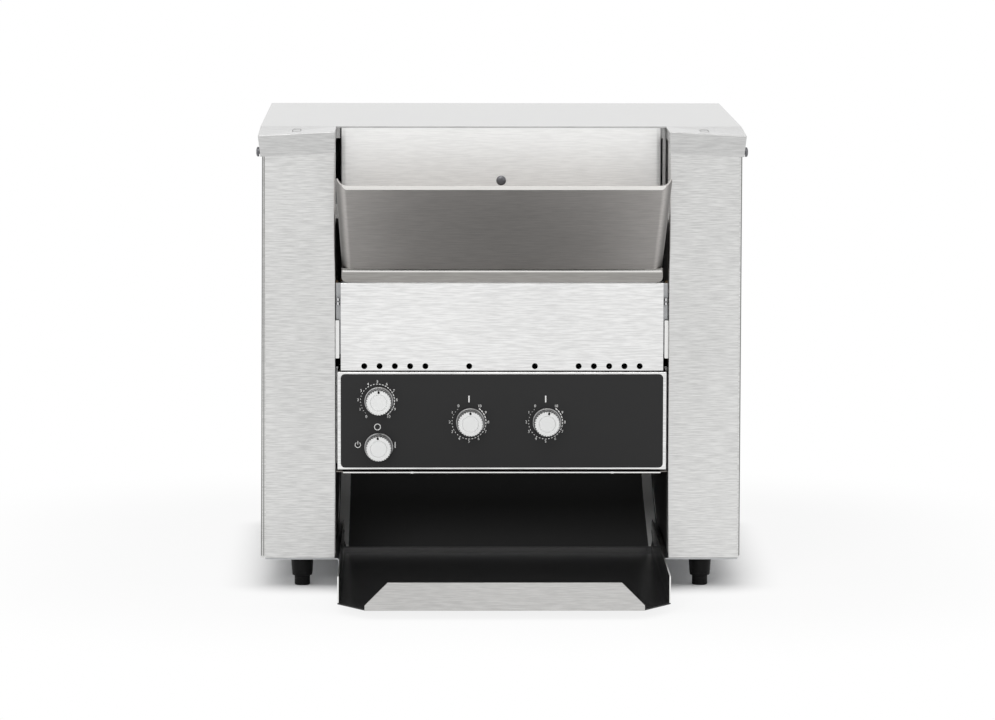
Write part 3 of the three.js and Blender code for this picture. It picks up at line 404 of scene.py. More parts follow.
def prism(outline, axis, start, end):
    """An outline across an axis, (y, z), (x, z) or (x, y), run along that axis from start to end."""
    place = AXES[axis]
    count = len(outline)
    corners = [place(u, v, w) for w in (start, end) for u, v in outline]
    sides = [(i, (i + 1) % count, (i + 1) % count + count, i + count) for i in range(count)]
    ends = [tuple(range(count)), tuple(range(count, 2 * count))]
    return plan_mesh("prism", corners, sides + ends)


def block(low, high):
    """A box from its lowest to its highest corner."""
    return prism(rectangle(low, high), "Z", low[2], high[2])


def arc(centre, radius, start, end, steps):
    """Points round a centre from one angle to another, in degrees."""
    angles = [math.radians(start + (end - start) * i / steps) for i in range(steps + 1)]
    return [(centre[0] + radius * math.cos(a), centre[1] + radius * math.sin(a)) for a in angles]


def polygon(radius, count):
    """The corners of an even polygon about the origin."""
    return arc((0, 0), radius, 0, 360 - 360 / count, count - 1)


def cylinder(radius, start, end, sides=48):
    """A round bar about Z."""
    return prism(polygon(radius, sides), "Z", start, end)


def rounded(line, radius, steps=6, closed=False):
    """A line of points whose corners turn in arcs of one radius, or of a radius each."""
    points = [Vector(p) for p in line]
    radii = radius if hasattr(radius, "__len__") else [radius] * len(points)
    result = []
    for i, point in enumerate(points):
        if not closed and i in (0, len(points) - 1) or radii[i] <= 0:
            result.append(point)
            continue
        back = (points[i - 1] - point).normalized()
        on = (points[(i + 1) % len(points)] - point).normalized()
        half = math.acos(max(-1.0, min(1.0, back.dot(on)))) / 2
        if half > STRAIGHT:
            result.append(point)
            continue
        reach = radii[i] / math.tan(half)
        start, end = point + back * reach, point + on * reach
        centre = point + (back + on).normalized() * (radii[i] / math.sin(half))
        first, last = start - centre, end - centre
        turn = first.angle_signed(last)
        for k in range(steps + 1):
            result.append(centre + Matrix.Rotation(-turn * k / steps, 2) @ first)
    return result


def lathe(profile, steps):
    """A profile of (radius, height) points turned about Z.

    It starts and ends on the axis, or closes on itself.
    """
    work = bmesh.new()
    line = [work.verts.new((radius, 0, height)) for radius, height in profile]
    edges = [work.edges.new(pair) for pair in zip(line, line[1:])]
    bmesh.ops.spin(work, geom=line + edges, axis=(0, 0, 1), cent=(0, 0, 0), steps=steps,
                   angle=2 * math.pi, use_merge=True)
    mesh = bpy.data.meshes.new("lathe")
    work.to_mesh(mesh)
    work.free()
    return outward(mesh)


def loft(rings):
    """A skin through rings with equal counts of points, closed by flat ends."""
    count = len(rings[0])
    last = (len(rings) - 1) * count
    ends = [tuple(range(count)), tuple(range(last, last + count))]
    corners = [p for ring in rings for p in ring]
    return plan_mesh("loft", corners, quads(len(rings), count, around=True) + ends)


def tube(points, radius, sides):
    """A round tube along a line of points, with flat ends."""
    points = [Vector(p) for p in points]
    rings = []
    up = Vector((0, 0, 1))
    for i, point in enumerate(points):
        before, after = points[max(i - 1, 0)], points[min(i + 1, len(points) - 1)]
        heading = (after - before).normalized()
        if i == 0:
            up = heading.orthogonal().normalized()
        side = heading.cross(up).normalized()
        up = side.cross(heading)
        turns = [2 * math.pi * k / sides for k in range(sides)]
        rings.append([point + (side * math.cos(t) + up * math.sin(t)) * radius for t in turns])
    return loft(rings)


def moved(mesh, place=(0, 0, 0), turn=None):
    """A mesh turned about the origin and then shifted."""
    mesh.transform(Matrix.Translation(place) @ (turn or Matrix.Identity(4)))
    return mesh


TO_FRONT = Matrix.Rotation(math.pi / 2, 4, "X")
TO_REAR = Matrix.Rotation(-math.pi / 2, 4, "X")


def on_front(mesh, place, degrees=0.0):
    """Stands a mesh made about +Z on a front face, turned clockwise as seen."""
    return moved(mesh, place, TO_FRONT @ Matrix.Rotation(-math.radians(degrees), 4, "Z"))


def joined(*meshes):
    """Several meshes as one."""
    work = bmesh.new()
    for mesh in meshes:
        work.from_mesh(mesh)
    whole = bpy.data.meshes.new("joined")
    work.to_mesh(whole)
    work.free()
    return whole


def mirrored(mesh):
    """A mirror image across the toaster's middle."""
    other = mesh.copy()
    other.transform(Matrix.Scale(-1, 4, (1, 0, 0)))
    return outward(other)


def held(name, data):
    """A new object in the scene."""
    piece = bpy.data.objects.new(name, data)
    bpy.context.scene.collection.objects.link(piece)
    return piece


def baked(piece, *helpers):
    """A plain mesh of a piece with its modifiers applied. The piece and its helpers are removed."""
    bpy.context.view_layer.update()
    graph = bpy.context.evaluated_depsgraph_get()
    mesh = bpy.data.meshes.new_from_object(piece.evaluated_get(graph), depsgraph=graph)
    for helper in (piece, *helpers):
        bpy.data.objects.remove(helper)
    return mesh


def modified(piece, kind, **settings):
    """Adds a modifier to a piece and sets it up."""
    modifier = piece.modifiers.new(kind.lower(), kind)
    for name, value in settings.items():
        setattr(modifier, name, value)
    return modifier


def carved(mesh, *tools, operation="DIFFERENCE"):
    """A closed mesh with others cut away, or kept in common."""
    for tool in tools:
        base, other = held("carved", mesh), held("tool", tool)
        modified(base, "BOOLEAN", operation=operation, solver="EXACT", object=other)
        mesh = baked(base, other)
    return mesh


def eased(mesh, edge=EASE):
    """Rounds a solid's sharp edges a little."""
    with opened(mesh) as work:
        bmesh.ops.dissolve_limit(work, angle_limit=FLAT, verts=work.verts, edges=work.edges)
        weight = work.edges.layers.float.new("bevel_weight_edge")
        for line in work.edges:
            sharp = len(line.link_faces) == 2 and line.calc_face_angle(0.0) >= SHARP
            if sharp and line.calc_length() > 2 * edge:
                line[weight] = 1.0
    piece = held("eased", mesh)
    modified(piece, "BEVEL", limit_method="WEIGHT", width=edge, segments=3, use_clamp_overlap=False)
    return baked(piece)


def node_mesh(name):
    """A merged copy of a CAD node's mesh."""
    return outward(NODES[name].data.copy())


def show(name, mesh, finish, replaces=(), body="housing"):
    """Puts a finished mesh in the scene as a piece of one body."""
    mesh.shade_smooth()
    mesh.set_sharp_from_angle(angle=SHARP)
    piece = held(name, mesh)
    dress(piece, finish)
    modified(piece, "WEIGHTED_NORMAL", keep_sharp=True)
    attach(piece, body)
    if replaces:
        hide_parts(*replaces)


def body_of_node(name):
    """The body that a CAD node rides on."""
    bodies = frame["record"]["behaviour"]["bodies"]
    return next(body for body, members in bodies.items() if name in members)


def show_eased(name, finish, edge=EASE):
    """Replaces a CAD node with a copy of itself whose edges are rounded."""
    mesh = eased(node_mesh(name), edge)
    show(f"{name}_sheet", mesh, finish, (name,), body_of_node(name))


def folded(corners, faces, thickness=SHEET, bend=1.5 * MM, edge=0.2 * MM):
    """A folded sheet from its outer side: its bends are rounded, and the sheet lies within them."""
    mesh = bpy.data.meshes.new("folded")
    mesh.from_pydata([tuple(p) for p in corners], [], faces)
    with opened(mesh) as work:
        bends = [e for e in work.edges
                 if len(e.link_faces) == 2 and e.calc_face_angle(0.0) > SHARP]
        if bend and bends:
            bmesh.ops.bevel(work, geom=bends, offset=bend, segments=4, profile=0.5,
                            affect="EDGES", clamp_overlap=False)
    return thickened(mesh, thickness, edge)


def thickened(mesh, thickness=SHEET, edge=0.2 * MM):
    """Gives an open surface its thickness behind its faces, and eases the cut edges."""
    piece = held("thickened", mesh)
    modified(piece, "SOLIDIFY", thickness=thickness, offset=-1.0, use_even_offset=True)
    modified(piece, "BEVEL", limit_method="ANGLE", angle_limit=CUT_EDGE, width=edge, segments=2,
             use_clamp_overlap=True)
    return baked(piece)


def swept(line, axis, start, end):
    """Corners and faces of a surface that runs a line of points along an axis."""
    place = AXES[axis]
    return [place(u, v, w) for w in (start, end) for u, v in line], quads(2, len(line))


def grid(rows):
    """An open surface through rows with equal counts of points."""
    mesh = bpy.data.meshes.new("grid")
    mesh.from_pydata([tuple(p) for row in rows for p in row], [], quads(len(rows), len(rows[0])))
    return mesh


class Pattern(Tree):
    """A Geometry Nodes tree under construction, with named inputs for its sizes."""

    KINDS = {int: "NodeSocketInt", float: "NodeSocketFloat", tuple: "NodeSocketVector"}
    SHAPE = "NodeSocketObject"

    def __init__(self, name, **sizes):
        group = bpy.data.node_groups.new(name, "GeometryNodeTree")
        super().__init__(group)
        face = group.interface
        face.new_socket("Geometry", in_out="INPUT", socket_type="NodeSocketGeometry")
        face.new_socket("Geometry", in_out="OUTPUT", socket_type="NodeSocketGeometry")
        self.keys = {}
        for label, default in sizes.items():
            kind = self.KINDS.get(type(default), self.SHAPE)
            socket = face.new_socket(label, in_out="INPUT", socket_type=kind)
            if kind != self.SHAPE:
                socket.default_value = default
            self.keys[label] = socket.identifier
        self.given = self.node("NodeGroupInput", output="Geometry")

    def size(self, label):
        return self.given.other(self.keys[label])

    def vector(self, x=0.0, y=0.0, z=0.0):
        return self.node("ShaderNodeCombineXYZ", None, {0: x, 1: y, 2: z})

    def points(self):
        """As many points as the tree's count, and the index of each."""
        points = self.node("GeometryNodePoints", None, {"Count": self.size("Count")}, "Points")
        return points, self.node("GeometryNodeInputIndex")

    def copies(self, points, shape, **inputs):
        """Copies of a shape on points."""
        values = {"Points": points, "Instance": shape, **inputs}
        return self.node("GeometryNodeInstanceOnPoints", None, values)

    def plain(self, geometry):
        """Copies made real geometry."""
        return self.node("GeometryNodeRealizeInstances", None, {0: geometry})

    def close(self, geometry, finish):
        """Ends the tree in plain geometry with one finish."""
        values = {"Geometry": self.plain(geometry), "Material": material(finish)}
        painted = self.node("GeometryNodeSetMaterial", None, values)
        self.node("NodeGroupOutput", None, {"Geometry": painted})
        return self

    def mesh(self, base=None, **sizes):
        """The plain mesh that the tree makes from a base mesh and these sizes."""
        piece = held("pattern", base or bpy.data.meshes.new("empty"))
        growth = modified(piece, "NODES", node_group=self.tree)
        for label, value in sizes.items():
            growth[self.keys[label]] = value
        return baked(piece)


def span(node):
    """The lowest and highest corner of a CAD node, as plain tuples."""
    low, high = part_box(node)
    return tuple(low), tuple(high)


def middle(node):
    """The middle of a CAD node's box."""
    return tuple((a + b) / 2 for a, b in zip(*span(node)))


def handed(mesh, side):
    """A piece made for the right side, or its mirror image for the left."""
    return mesh if side > 0 else mirrored(mesh)


def length(name, description, millimetres, least=0.0):
    """A size that a user can change."""
    return FloatProperty(name=name, description=description, default=millimetres * MM,
                         min=least * MM, subtype="DISTANCE")


SLOT_MIDDLES = ((-198.5 * MM, -99 * MM), (196 * MM, -103 * MM))
VENT_PITCH = 14.75 * MM


class CasingSizes(bpy.types.PropertyGroup):
    """Bends and edges of the folded casing."""

    bend: length("Bend radius", "Outer radius of the casing's bends", 1.5, 0.2)
    lip_lean: length("Lip lean", "How far the lid's side lips lean in", 2.4)
    lip_height: length("Lip height", "Height of the lid's lips", 20.5)
    flange_height: length("Notch flange", "Height of the flanges along the lid's notch", 11.5)
    relief: length("Bend relief", "Where the notch's flanges stop short of its back edge", 1.5)


def lid_surface(sizes):
    """The outer side of the lid: roof, lips and the notch that the ramp stands in."""
    (_, front, low), (half, back, top) = span("top_cover")
    bay = span("right_front_cover")[0][0]
    notch = span("upper_front_panel")[0][1] - SHEET
    droop = top - low - sizes.lip_height
    lean, lip = sizes.lip_lean, sizes.lip_height
    flange, relief = sizes.flange_height, notch - sizes.relief
    corners, faces = [], []

    def face(*places):
        faces.append(tuple(range(len(corners), len(corners) + len(places))))
        corners.extend(places)

    face((-half, notch, top), (-bay, notch, top), (bay, notch, top), (half, notch, top),
         (half, back, top), (-half, back, top))
    face((half, back, top), (half - lean, back, top - lip), (-half + lean, back, top - lip),
         (-half, back, top))
    for side in (1, -1):
        def turned(*places):
            placed = [(side * x, y, z) for x, y, z in places]
            face(*placed[::side])

        turned((bay, front, top), (half, front, top - droop), (bay, notch, top), (bay, relief, top))
        turned((half, front, top - droop), (half, notch, top), (bay, notch, top))
        turned((half, front, top - droop), (half - lean, front, top - droop - lip),
               (half - lean, notch, top - lip), (half, notch, top))
        turned((half, notch, top), (half - lean, notch, top - lip), (half - lean, back, top - lip),
               (half, back, top))
        turned((bay, front, top), (bay, front, top - flange), (bay, front, top - lip),
               (half - lean, front, top - droop - lip), (half, front, top - droop))
        turned((bay, front, top), (bay, relief, top), (bay, relief, top - flange),
               (bay, front, top - flange))
    return corners, faces


def lid_slots(lid):
    """Dark beads along the outlines of two closed slots on the drooping corners of the lid: painted
    shade of the slots.
    """
    lid.calc_loop_triangles()
    triangles = [tuple(t.vertices) for t in lid.loop_triangles]
    tree = BVHTree.FromPolygons([v.co for v in lid.vertices], triangles)
    wide, deep, bead = 8 * MM, 25 * MM, 0.4 * MM
    top = span("top_cover")[1][2]
    beads = []
    for x, y in SLOT_MIDDLES:
        outline = rectangle((x - wide / 2, y - deep / 2), (x + wide / 2, y + deep / 2))
        line = rounded(outline, 2 * MM, 4, closed=True)
        hits = [tree.ray_cast(Vector((*place, top + MM)), Vector((0, 0, -1)))[0] for place in line]
        loop = [Vector((hit.x, hit.y, min(hit.z, top - 0.7 * bead) - bead / 2)) for hit in hits]
        beads.append(tube(loop + loop[:1], bead, 8))
    return joined(*beads)


def seam_lines():
    """Dark strips beside the pillars, in front of the side panels' hems, as (x, z) outlines: painted
    shade of the gaps there.
    """
    low, high = span("left_side_panel")
    right = span("right_side_panel")[1][0]
    base, top = low[2] + 2 * MM, high[2] - 4 * MM
    lines = []
    for foot, head, wide in ((low[0] + 0.1 * MM, -right + 0.1 * MM, 0.8 * MM),
                             (low[0] + 2.3 * MM, -right + 1.6 * MM, 0.9 * MM),
                             (right - 0.9 * MM, right - 0.9 * MM, 0.8 * MM)):
        line = [(foot, base), (foot + wide, base), (head + wide, top), (head, top)]
        lines.append(prism(line, "Y", low[1] - 0.15 * MM, low[1] + 0.2 * MM))
    return joined(*lines)


def side_panel(side, sizes):
    """A side panel with its hems turned in at the front and back."""
    low, high = span("left_side_panel" if side < 0 else "right_side_panel")
    hem = 8 * MM
    foot = low[0] if side < 0 else high[0]
    head = side * span("right_side_panel")[1][0]
    corners = []
    for y in (low[1], high[1]):
        for inset in (side * hem, 0.0):
            corners += [(foot - inset, y, low[2]), (head - inset, y, high[2])]
    faces = [f[::side] for f in ((0, 2, 3, 1), (2, 6, 7, 3), (6, 4, 5, 7))]
    return folded(corners, faces, bend=sizes.bend)


def front_cover(side, sizes):
    """The front of a pillar, with its return into the bay."""
    low, high = span("right_front_cover")
    line = [(high[0], low[1]), (low[0], low[1]), (low[0], high[1])]
    corners, faces = swept([(side * x, y) for x, y in line], "Z", low[2], high[2])
    return folded(corners, [f[::-side] for f in faces], bend=sizes.bend)


def base_pan(side):
    """The pan under a pillar, with its upstand and the ledge that the tray runs on."""
    low, high = span("right_base_pan")
    deck = span("right_front_cover")[0][2] - 1 * MM - SHEET
    ledge = low[0] + 9 * MM
    line = [(high[0], high[2]), (high[0], deck), (ledge, deck), (ledge, low[2]), (low[0], low[2])]
    corners, faces = swept([(side * x, z) for x, z in line], "Y", low[1], high[1])
    return folded(corners, [f[::side] for f in faces], bend=1.2 * MM)


def upper_panel():
    """The plate above the mouth, with rounded sides and returns."""
    low, high = span("upper_front_panel")
    half = span("lower_front_panel")[1][0] + 0.8 * MM
    right = [(high[0], high[1]), (half, high[1]), (half, low[1] + 0.25 * MM),
             (half - 4.5 * MM, low[1])]
    radii = (0, 1.2 * MM, 1.2 * MM, 3 * MM)
    line = rounded(right + [(-x, y) for x, y in right[::-1]], radii + radii[::-1], 8)
    corners, faces = swept(line, "Z", low[2], high[2])
    panel = folded(corners, [f[::-1] for f in faces], bend=0)
    foot, head = low[2] + 14 * MM, high[2] - 12 * MM

    def gap(reach):
        return block((half + 0.5 * MM, high[1] - 2 * SHEET, foot), (reach, high[1] + 3 * SHEET, head))

    return carved(panel, gap(half + 2.6 * MM), mirrored(gap(high[0] + MM)))


def vent_pattern():
    """Round holes along a row, cut through a plate."""
    tree = Pattern("vents", Count=5, Pitch=VENT_PITCH, Radius=2.9 * MM, Start=(0.0, 0.0, 0.0))
    line = tree.node("GeometryNodeMeshLine", {"mode": "OFFSET"}, {
        "Count": tree.size("Count"), "Start Location": tree.size("Start"),
        "Offset": tree.vector(x=tree.size("Pitch"))})
    drill = tree.node("GeometryNodeMeshCylinder", None, {
        "Vertices": 24, "Radius": tree.size("Radius"), "Depth": 12 * MM}, "Mesh")
    upright = tree.node("GeometryNodeTransform", None, {
        "Geometry": drill, "Rotation": (math.pi / 2, 0.0, 0.0)})
    holed = tree.node("GeometryNodeMeshBoolean", {"operation": "DIFFERENCE", "solver": "EXACT"}, {
        "Mesh 1": tree.given, "Mesh 2": tree.plain(tree.copies(line, upright))})
    return tree.close(holed, "panel_steel")


def lower_panel(sizes):
    """The plate above the dials, with its row of vents."""
    low, high = span("lower_front_panel")
    line = [(high[1], high[2]), (low[1], high[2]), (low[1], low[2])]
    plate = folded(*swept(line, "X", low[0], high[0]), bend=sizes.bend)
    vents = vent_pattern()
    reach = high[0] - 22.7 * MM
    single = 31.7 * MM
    rows = ((-reach, 5, VENT_PITCH), (reach - 4 * VENT_PITCH, 5, VENT_PITCH),
            (-single, 2, 2 * single))
    for start, count, pitch in rows:
        place = (start, low[1], low[2] + 4.3 * MM)
        plate = vents.mesh(plate, Count=count, Pitch=pitch, Start=place)
    return plate


def bezel():
    """The shallow pan that carries the dials, with ears that hold it to the pillars."""
    low, high = span("control_bezel")
    half = span("control_overlay")[1][0] + 3.2 * MM
    z0, z1, y0, y1 = low[2], high[2], low[1], high[1]
    corners = [(-half, y0, z0), (half, y0, z0), (half, y0, z1), (-half, y0, z1),
               (-half, y1, z0), (half, y1, z0), (half, y1, z1), (-half, y1, z1),
               (low[0], y1, z0), (high[0], y1, z0), (high[0], y1, z1), (low[0], y1, z1)]
    faces = [(0, 1, 2, 3), (1, 5, 6, 2), (4, 0, 3, 7), (3, 2, 6, 7), (0, 4, 5, 1),
             (5, 9, 10, 6), (8, 4, 7, 11)]
    return folded(corners, faces, bend=0.9 * MM)


class TOASTER_OT_casing(bpy.types.Operator):
    """Folded sheets of the casing"""

    bl_idname = "toaster.casing"
    bl_label = "Casing"

    def execute(self, context):
        sizes = context.scene.toaster_casing
        lid = folded(*lid_surface(sizes), bend=0.8 * MM)
        show("lid_slots", lid_slots(lid), "seam_steel")
        show("lid_sheet", lid, "lid_steel", ("top_cover",))
        show("side_seams", seam_lines(), "seam_steel")
        for word, side in SIDES:
            show(f"{word}_side_sheet", side_panel(side, sizes), "brushed_steel",
                 replaces=(f"{word}_side_panel",))
            show(f"{word}_pillar_sheet", front_cover(side, sizes), "brushed_steel",
                 replaces=(f"{word}_front_cover",))
            show(f"{word}_pan_sheet", base_pan(side), "plated_steel", replaces=(f"{word}_base_pan",))
        show_eased("rear_panel", "brushed_steel")
        for name, mesh, finish, node in (
                ("upper_panel_sheet", upper_panel(), "upper_steel", "upper_front_panel"),
                ("lower_panel_sheet", lower_panel(sizes), "panel_steel", "lower_front_panel"),
                ("bezel_sheet", bezel(), "panel_steel", "control_bezel")):
            show(name, mesh, finish, (node,))
        show_eased("control_overlay", "overlay", edge=0.15 * MM)
        return {"FINISHED"}


class RampSizes(bpy.types.PropertyGroup):
    """Shape of the loading ramp."""

    rise: length("Rise", "Height from the ramp's foot to its head", 88.5)
    foot_drop: length("Foot drop", "How far the lip hangs below the foot", 11.3)
    foot_inset: length("Foot inset", "How much narrower each side is at the foot", 4)
    corner: length("Corner radius", "Bend between the floor and a cheek", 10)
    cheek: length("Cheek height", "Height of a cheek at its inner end", 36)
    ear: length("Ear height", "Height of a cheek at the head", 8)
    hem: length("Hem height", "Height of the folded front edge", 4)


def ramp_places(sizes):
    """Foot and head of the ramp's underside in (y, z), its way up, half width and innermost y."""
    low, high = span("loading_ramp")
    foot = Vector((span("top_cover")[0][1], low[2] + sizes.foot_drop))
    head = Vector((low[1] + SHEET, foot.y + sizes.rise))
    return foot, head, (head - foot).normalized(), high[0], high[1]


def ramp_trough(sizes):
    """Floor and cheeks, bent from one sheet and cut along the line of the cheeks."""
    foot, head, up, half, inner = ramp_places(sizes)
    slope = (head - foot).length
    tall = 80 * MM
    radius = sizes.corner
    start = 2.5 * MM
    rows = []
    for run in (-tall, 0.0, start, slope, slope + tall):
        wide = half - sizes.foot_inset + sizes.foot_inset * max(0.0, min(run / slope, 1.0))
        bend = arc((wide - radius, radius), radius, -90, 0, 12)
        right = [(0.0, 0.0), *bend, (wide, tall)]
        line = [(-u, v) for u, v in right[:0:-1]] + right
        rows.append([(u, foot.x + up.x * run + up.y * v, foot.y + up.y * run - up.x * v)
                     for u, v in line])
    trough = thickened(grid(rows), edge=0)
    reach = half + 5 * MM
    inward = Vector((up.y, -up.x))
    joint = foot + up * start
    keep = prism([
        (head.x, head.y - sizes.hem), (head.x, head.y + sizes.ear), (inner, foot.y + sizes.cheek),
        (inner, foot.y), (foot.x + SHEET, foot.y), tuple(joint + inward * 1.2 * SHEET),
        tuple(joint - inward * MM),
    ], "X", -reach, reach)
    room = half - sizes.foot_inset - SHEET
    mouth = block((-room, foot.x + SHEET, foot.y - tall), (room, inner + tall, foot.y + tall))
    return eased(carved(carved(trough, keep, operation="INTERSECT"), mouth), 0.1 * MM)


def ramp_lip(sizes):
    """The lip under the foot, with its bend into the floor and its rounded corners."""
    foot, _, up, half, _ = ramp_places(sizes)
    wide = half - sizes.foot_inset
    low = foot.y - sizes.foot_drop
    joint = foot + up * 2.5 * MM
    line = rounded([joint, foot, Vector((foot.x, low))], 3 * MM, 8)
    strip = folded(*swept(line, "X", -wide, wide), bend=0, edge=0)
    outline = rounded(rectangle((-wide, low), (wide, joint.y + 5 * MM)), (5 * MM, 5 * MM, 0, 0), 8,
                      closed=True)
    keep = prism(outline, "Y", foot.x - 20 * MM, foot.x + 20 * MM)
    return eased(carved(strip, keep, operation="INTERSECT"), 0.1 * MM)


def ramp_crease(sizes):
    """A bright strip along the bend between the floor and the lip: a painted highlight."""
    foot, _, up, half, _ = ramp_places(sizes)
    reach = half - sizes.foot_inset - MM
    proud = Vector((-0.05 * MM, -0.02 * MM))
    line = rounded([foot + up * 3 * MM, foot, foot - Vector((0, 1.6 * MM))], 3 * MM, 8)
    corners, faces = swept([point + proud for point in line], "X", -reach, reach)
    return folded(corners, faces, thickness=0.4 * MM, bend=0, edge=0)


def ramp_hem(sizes):
    """The folded front edge, which tapers off where the trough bends up to its ears."""
    _, head, up, half, _ = ramp_places(sizes)
    radius = sizes.corner
    stretch = -1 / up.x
    taper, steps = 22.0, 6
    turns = [taper * i / steps for i in range(steps + 1)]
    right = [(half - radius + radius * math.sin(math.radians(t)),
              head.y + stretch * radius * (1 - math.cos(math.radians(t))), t) for t in turns]
    path = [(-u, v, -t) for u, v, t in right[::-1]] + right
    rings = []
    for u, v, turn in path:
        out = Vector((math.sin(math.radians(turn)), -math.cos(math.radians(turn))))
        share = abs(turn) / taper
        drop = (sizes.hem - SHEET) * (1 - share) + 0.3 * MM * share
        outline = [(-SHEET, drop), (SHEET / 3, drop), (SHEET / 3, -SHEET), (-SHEET, -SHEET)]
        ring = rounded(outline, 0.5 * MM, 3, closed=True)
        rings.append([(u + out.x * p.y, head.x + p.x, v + out.y * p.y) for p in ring])
    return loft(rings)


class TOASTER_OT_ramp(bpy.types.Operator):
    """Loading ramp with rolled bends, a hemmed front edge and a curved lip"""

    bl_idname = "toaster.ramp"
    bl_label = "Loading ramp"

    def execute(self, context):
        sizes = context.scene.toaster_ramp
        for word, maker, finish in (
                ("trough", ramp_trough, "ramp_steel"), ("lip", ramp_lip, "ramp_lip_steel"),
                ("crease", ramp_crease, "hem_steel"), ("hem", ramp_hem, "hem_steel")):
            show(f"ramp_{word}", maker(sizes), finish, ("loading_ramp",), "ramp")
        return {"FINISHED"}


POINTERS = {"speed": 0.0, "power": -5.0, "top_heat": 0.0, "bottom_heat": 9.5}
PRINT = 0.02 * MM
DIGIT_SHARE = 0.7
SPEED_ANGLES = [-145 + 29 * i for i in range(11)]
HEAT_ANGLES = [-33, -60, -90, -120, -150, 180, 150, 120, 90, 60, 33]
DIAL_MARKS = {
    "speed": (SPEED_ANGLES, 28, -135, 141),
    "top_heat": (HEAT_ANGLES, 27, 318, 40),
    "bottom_heat": (HEAT_ANGLES, 27, 318, 40),
}


class DialSizes(bpy.types.PropertyGroup):
    """Knobs, and the marks printed round them."""

    crest: length("Crest radius", "Radius of a knob over its flutes", 12.1)
    flute: length("Flute depth", "Depth of a flute", 1.1)
    flutes: IntProperty(name="Flutes", description="Flutes round a knob", default=30, min=6)
    cap: length("Cap height", "Thickness of a knob's pale cap", 2.2)
    ring: length("Ring radius", "Groove on a knob's face", 7.85)
    skirt: length("Skirt radius", "Metal ring behind a knob", 13.8)
    skirt_height: length("Skirt height", "Depth of the metal ring", 6)
    digit: length("Digit height", "Height of the printed digits", 2.6)
    number_ring: length("Number ring", "Radius that the digits stand on", 18.7)
    dash_ring: length("Dash ring", "Radius of the arc of dashes", 16.4)


def dial_place(name):
    """Centre of a knob in (x, z)."""
    x, _, z = middle(f"{name}_knob")
    return x, z


def knob_heights():
    """The y of the knobs' backs, and how high they stand."""
    back = span("control_overlay")[0][1] - GAP
    return back, back - span("speed_knob")[0][1]


def fluted_ring(sizes, inset, level, depth):
    """Points round a knob at one height, waved by its flutes."""
    steps_a_flute = 8
    count = sizes.flutes * steps_a_flute
    ring = []
    for i in range(count):
        turn = 2 * math.pi * i / count
        wave = abs(math.sin(sizes.flutes * turn / 2)) ** 0.6
        radius = sizes.crest - inset - depth * sizes.flute * (1 - wave)
        ring.append((radius * math.sin(turn), radius * math.cos(turn), level))
    return ring


def knob_grip(sizes, height):
    """The fluted side of a knob, up to the cap."""
    top = height - sizes.cap
    return loft([fluted_ring(sizes, *section) for section in (
        (0.6 * MM, 0.3 * MM, 0.0), (0.0, sizes.skirt_height, 1.0), (0.15 * MM, top, 1.0))])


def knob_cap(sizes, height):
    """The pale cap of a knob: scalloped rim, ring groove and a faintly dished middle."""
    groove, deep = 0.5 * MM, 0.7 * MM
    inset = sizes.crest - sizes.ring
    rings = [fluted_ring(sizes, *section) for section in (
        (0.0, height - sizes.cap, 1.0), (0.0, height - 0.35 * MM, 1.0), (0.3 * MM, height, 1.0),
        (inset - groove, height, 0.0), (inset, height - deep, 0.0), (inset + groove, height, 0.0),
        (inset + 3 * MM, height - 0.05 * MM, 0.0), (sizes.crest - 0.5 * MM, height - 0.1 * MM, 0.0))]
    half, inner = 1.1 * MM, sizes.crest - 3.2 * MM
    notch = block((-half, inner, height - 0.9 * MM), (half, sizes.crest + MM, height + MM))
    return carved(loft(rings), notch)


def knob_pointer(sizes, height):
    """The dark inlay of a knob's pointer notch."""
    half, top = 0.95 * MM, sizes.crest - 0.75 * MM
    foot = top - 2.3 * MM
    line = rounded([(-half, top), (-half, foot), (half, foot), (half, top)], 0.5 * MM, 4)
    return prism(line, "Z", height - 1.1 * MM, height - 0.15 * MM)


def knob_skirt(sizes):
    """The turned metal ring behind a knob, hollow where the grip stands in it."""
    outer, high = sizes.skirt, sizes.skirt_height
    inner = sizes.crest - 1.3 * MM
    profile = [
        (inner, 0.0), (outer - 0.4 * MM, 0.0), (outer, 0.4 * MM), (outer, high / 2 - 0.4 * MM),
        (outer - 0.35 * MM, high / 2), (outer - 0.75 * MM, high / 2 + 0.25 * MM),
        (sizes.crest + 0.5 * MM, high - 0.5 * MM), (sizes.crest + 0.1 * MM, high), (inner, high),
        (inner, 0.0),
    ]
    return lathe(profile, 96)


def text_mesh(words, height):
    """Flat words as a mesh, centred on the origin, with digits of a given height."""
    curve = bpy.data.curves.new("words", "FONT")
    curve.body = words
    curve.align_x = "CENTER"
    curve.align_y = "CENTER"
    curve.size = height / DIGIT_SHARE
    curve.extrude = PRINT / 2
    return baked(held("words", curve))


def dash_pattern():
    """Dashes along an arc, clockwise from one angle to another, from thin to thick."""
    tree = Pattern("dashes", Count=24, Radius=16.0 * MM, Start=0.0, End=1.0, Thin=0.35 * MM,
                   Thick=1.0 * MM, Short=0.8 * MM, Long=2.3 * MM)
    points, index = tree.points()
    share = index / (tree.size("Count") - 1.0)

    def between(first, last):
        return tree.size(first) + (tree.size(last) - tree.size(first)) * share

    angle, radius = between("Start", "End"), tree.size("Radius")
    place = tree.vector(radius * angle.math("SINE", angle), radius * angle.math("COSINE", angle))
    placed = tree.node("GeometryNodeSetPosition", None, {"Geometry": points, "Position": place})
    dash = tree.node("GeometryNodeMeshCube", None, {"Size": (1.0, 1.0, PRINT)}, "Mesh")
    size = tree.vector(between("Short", "Long"), between("Thin", "Thick"), 1.0)
    copies = tree.copies(placed, dash, Rotation=tree.vector(z=angle * -1.0), Scale=size)
    return tree.close(copies, "print_white")


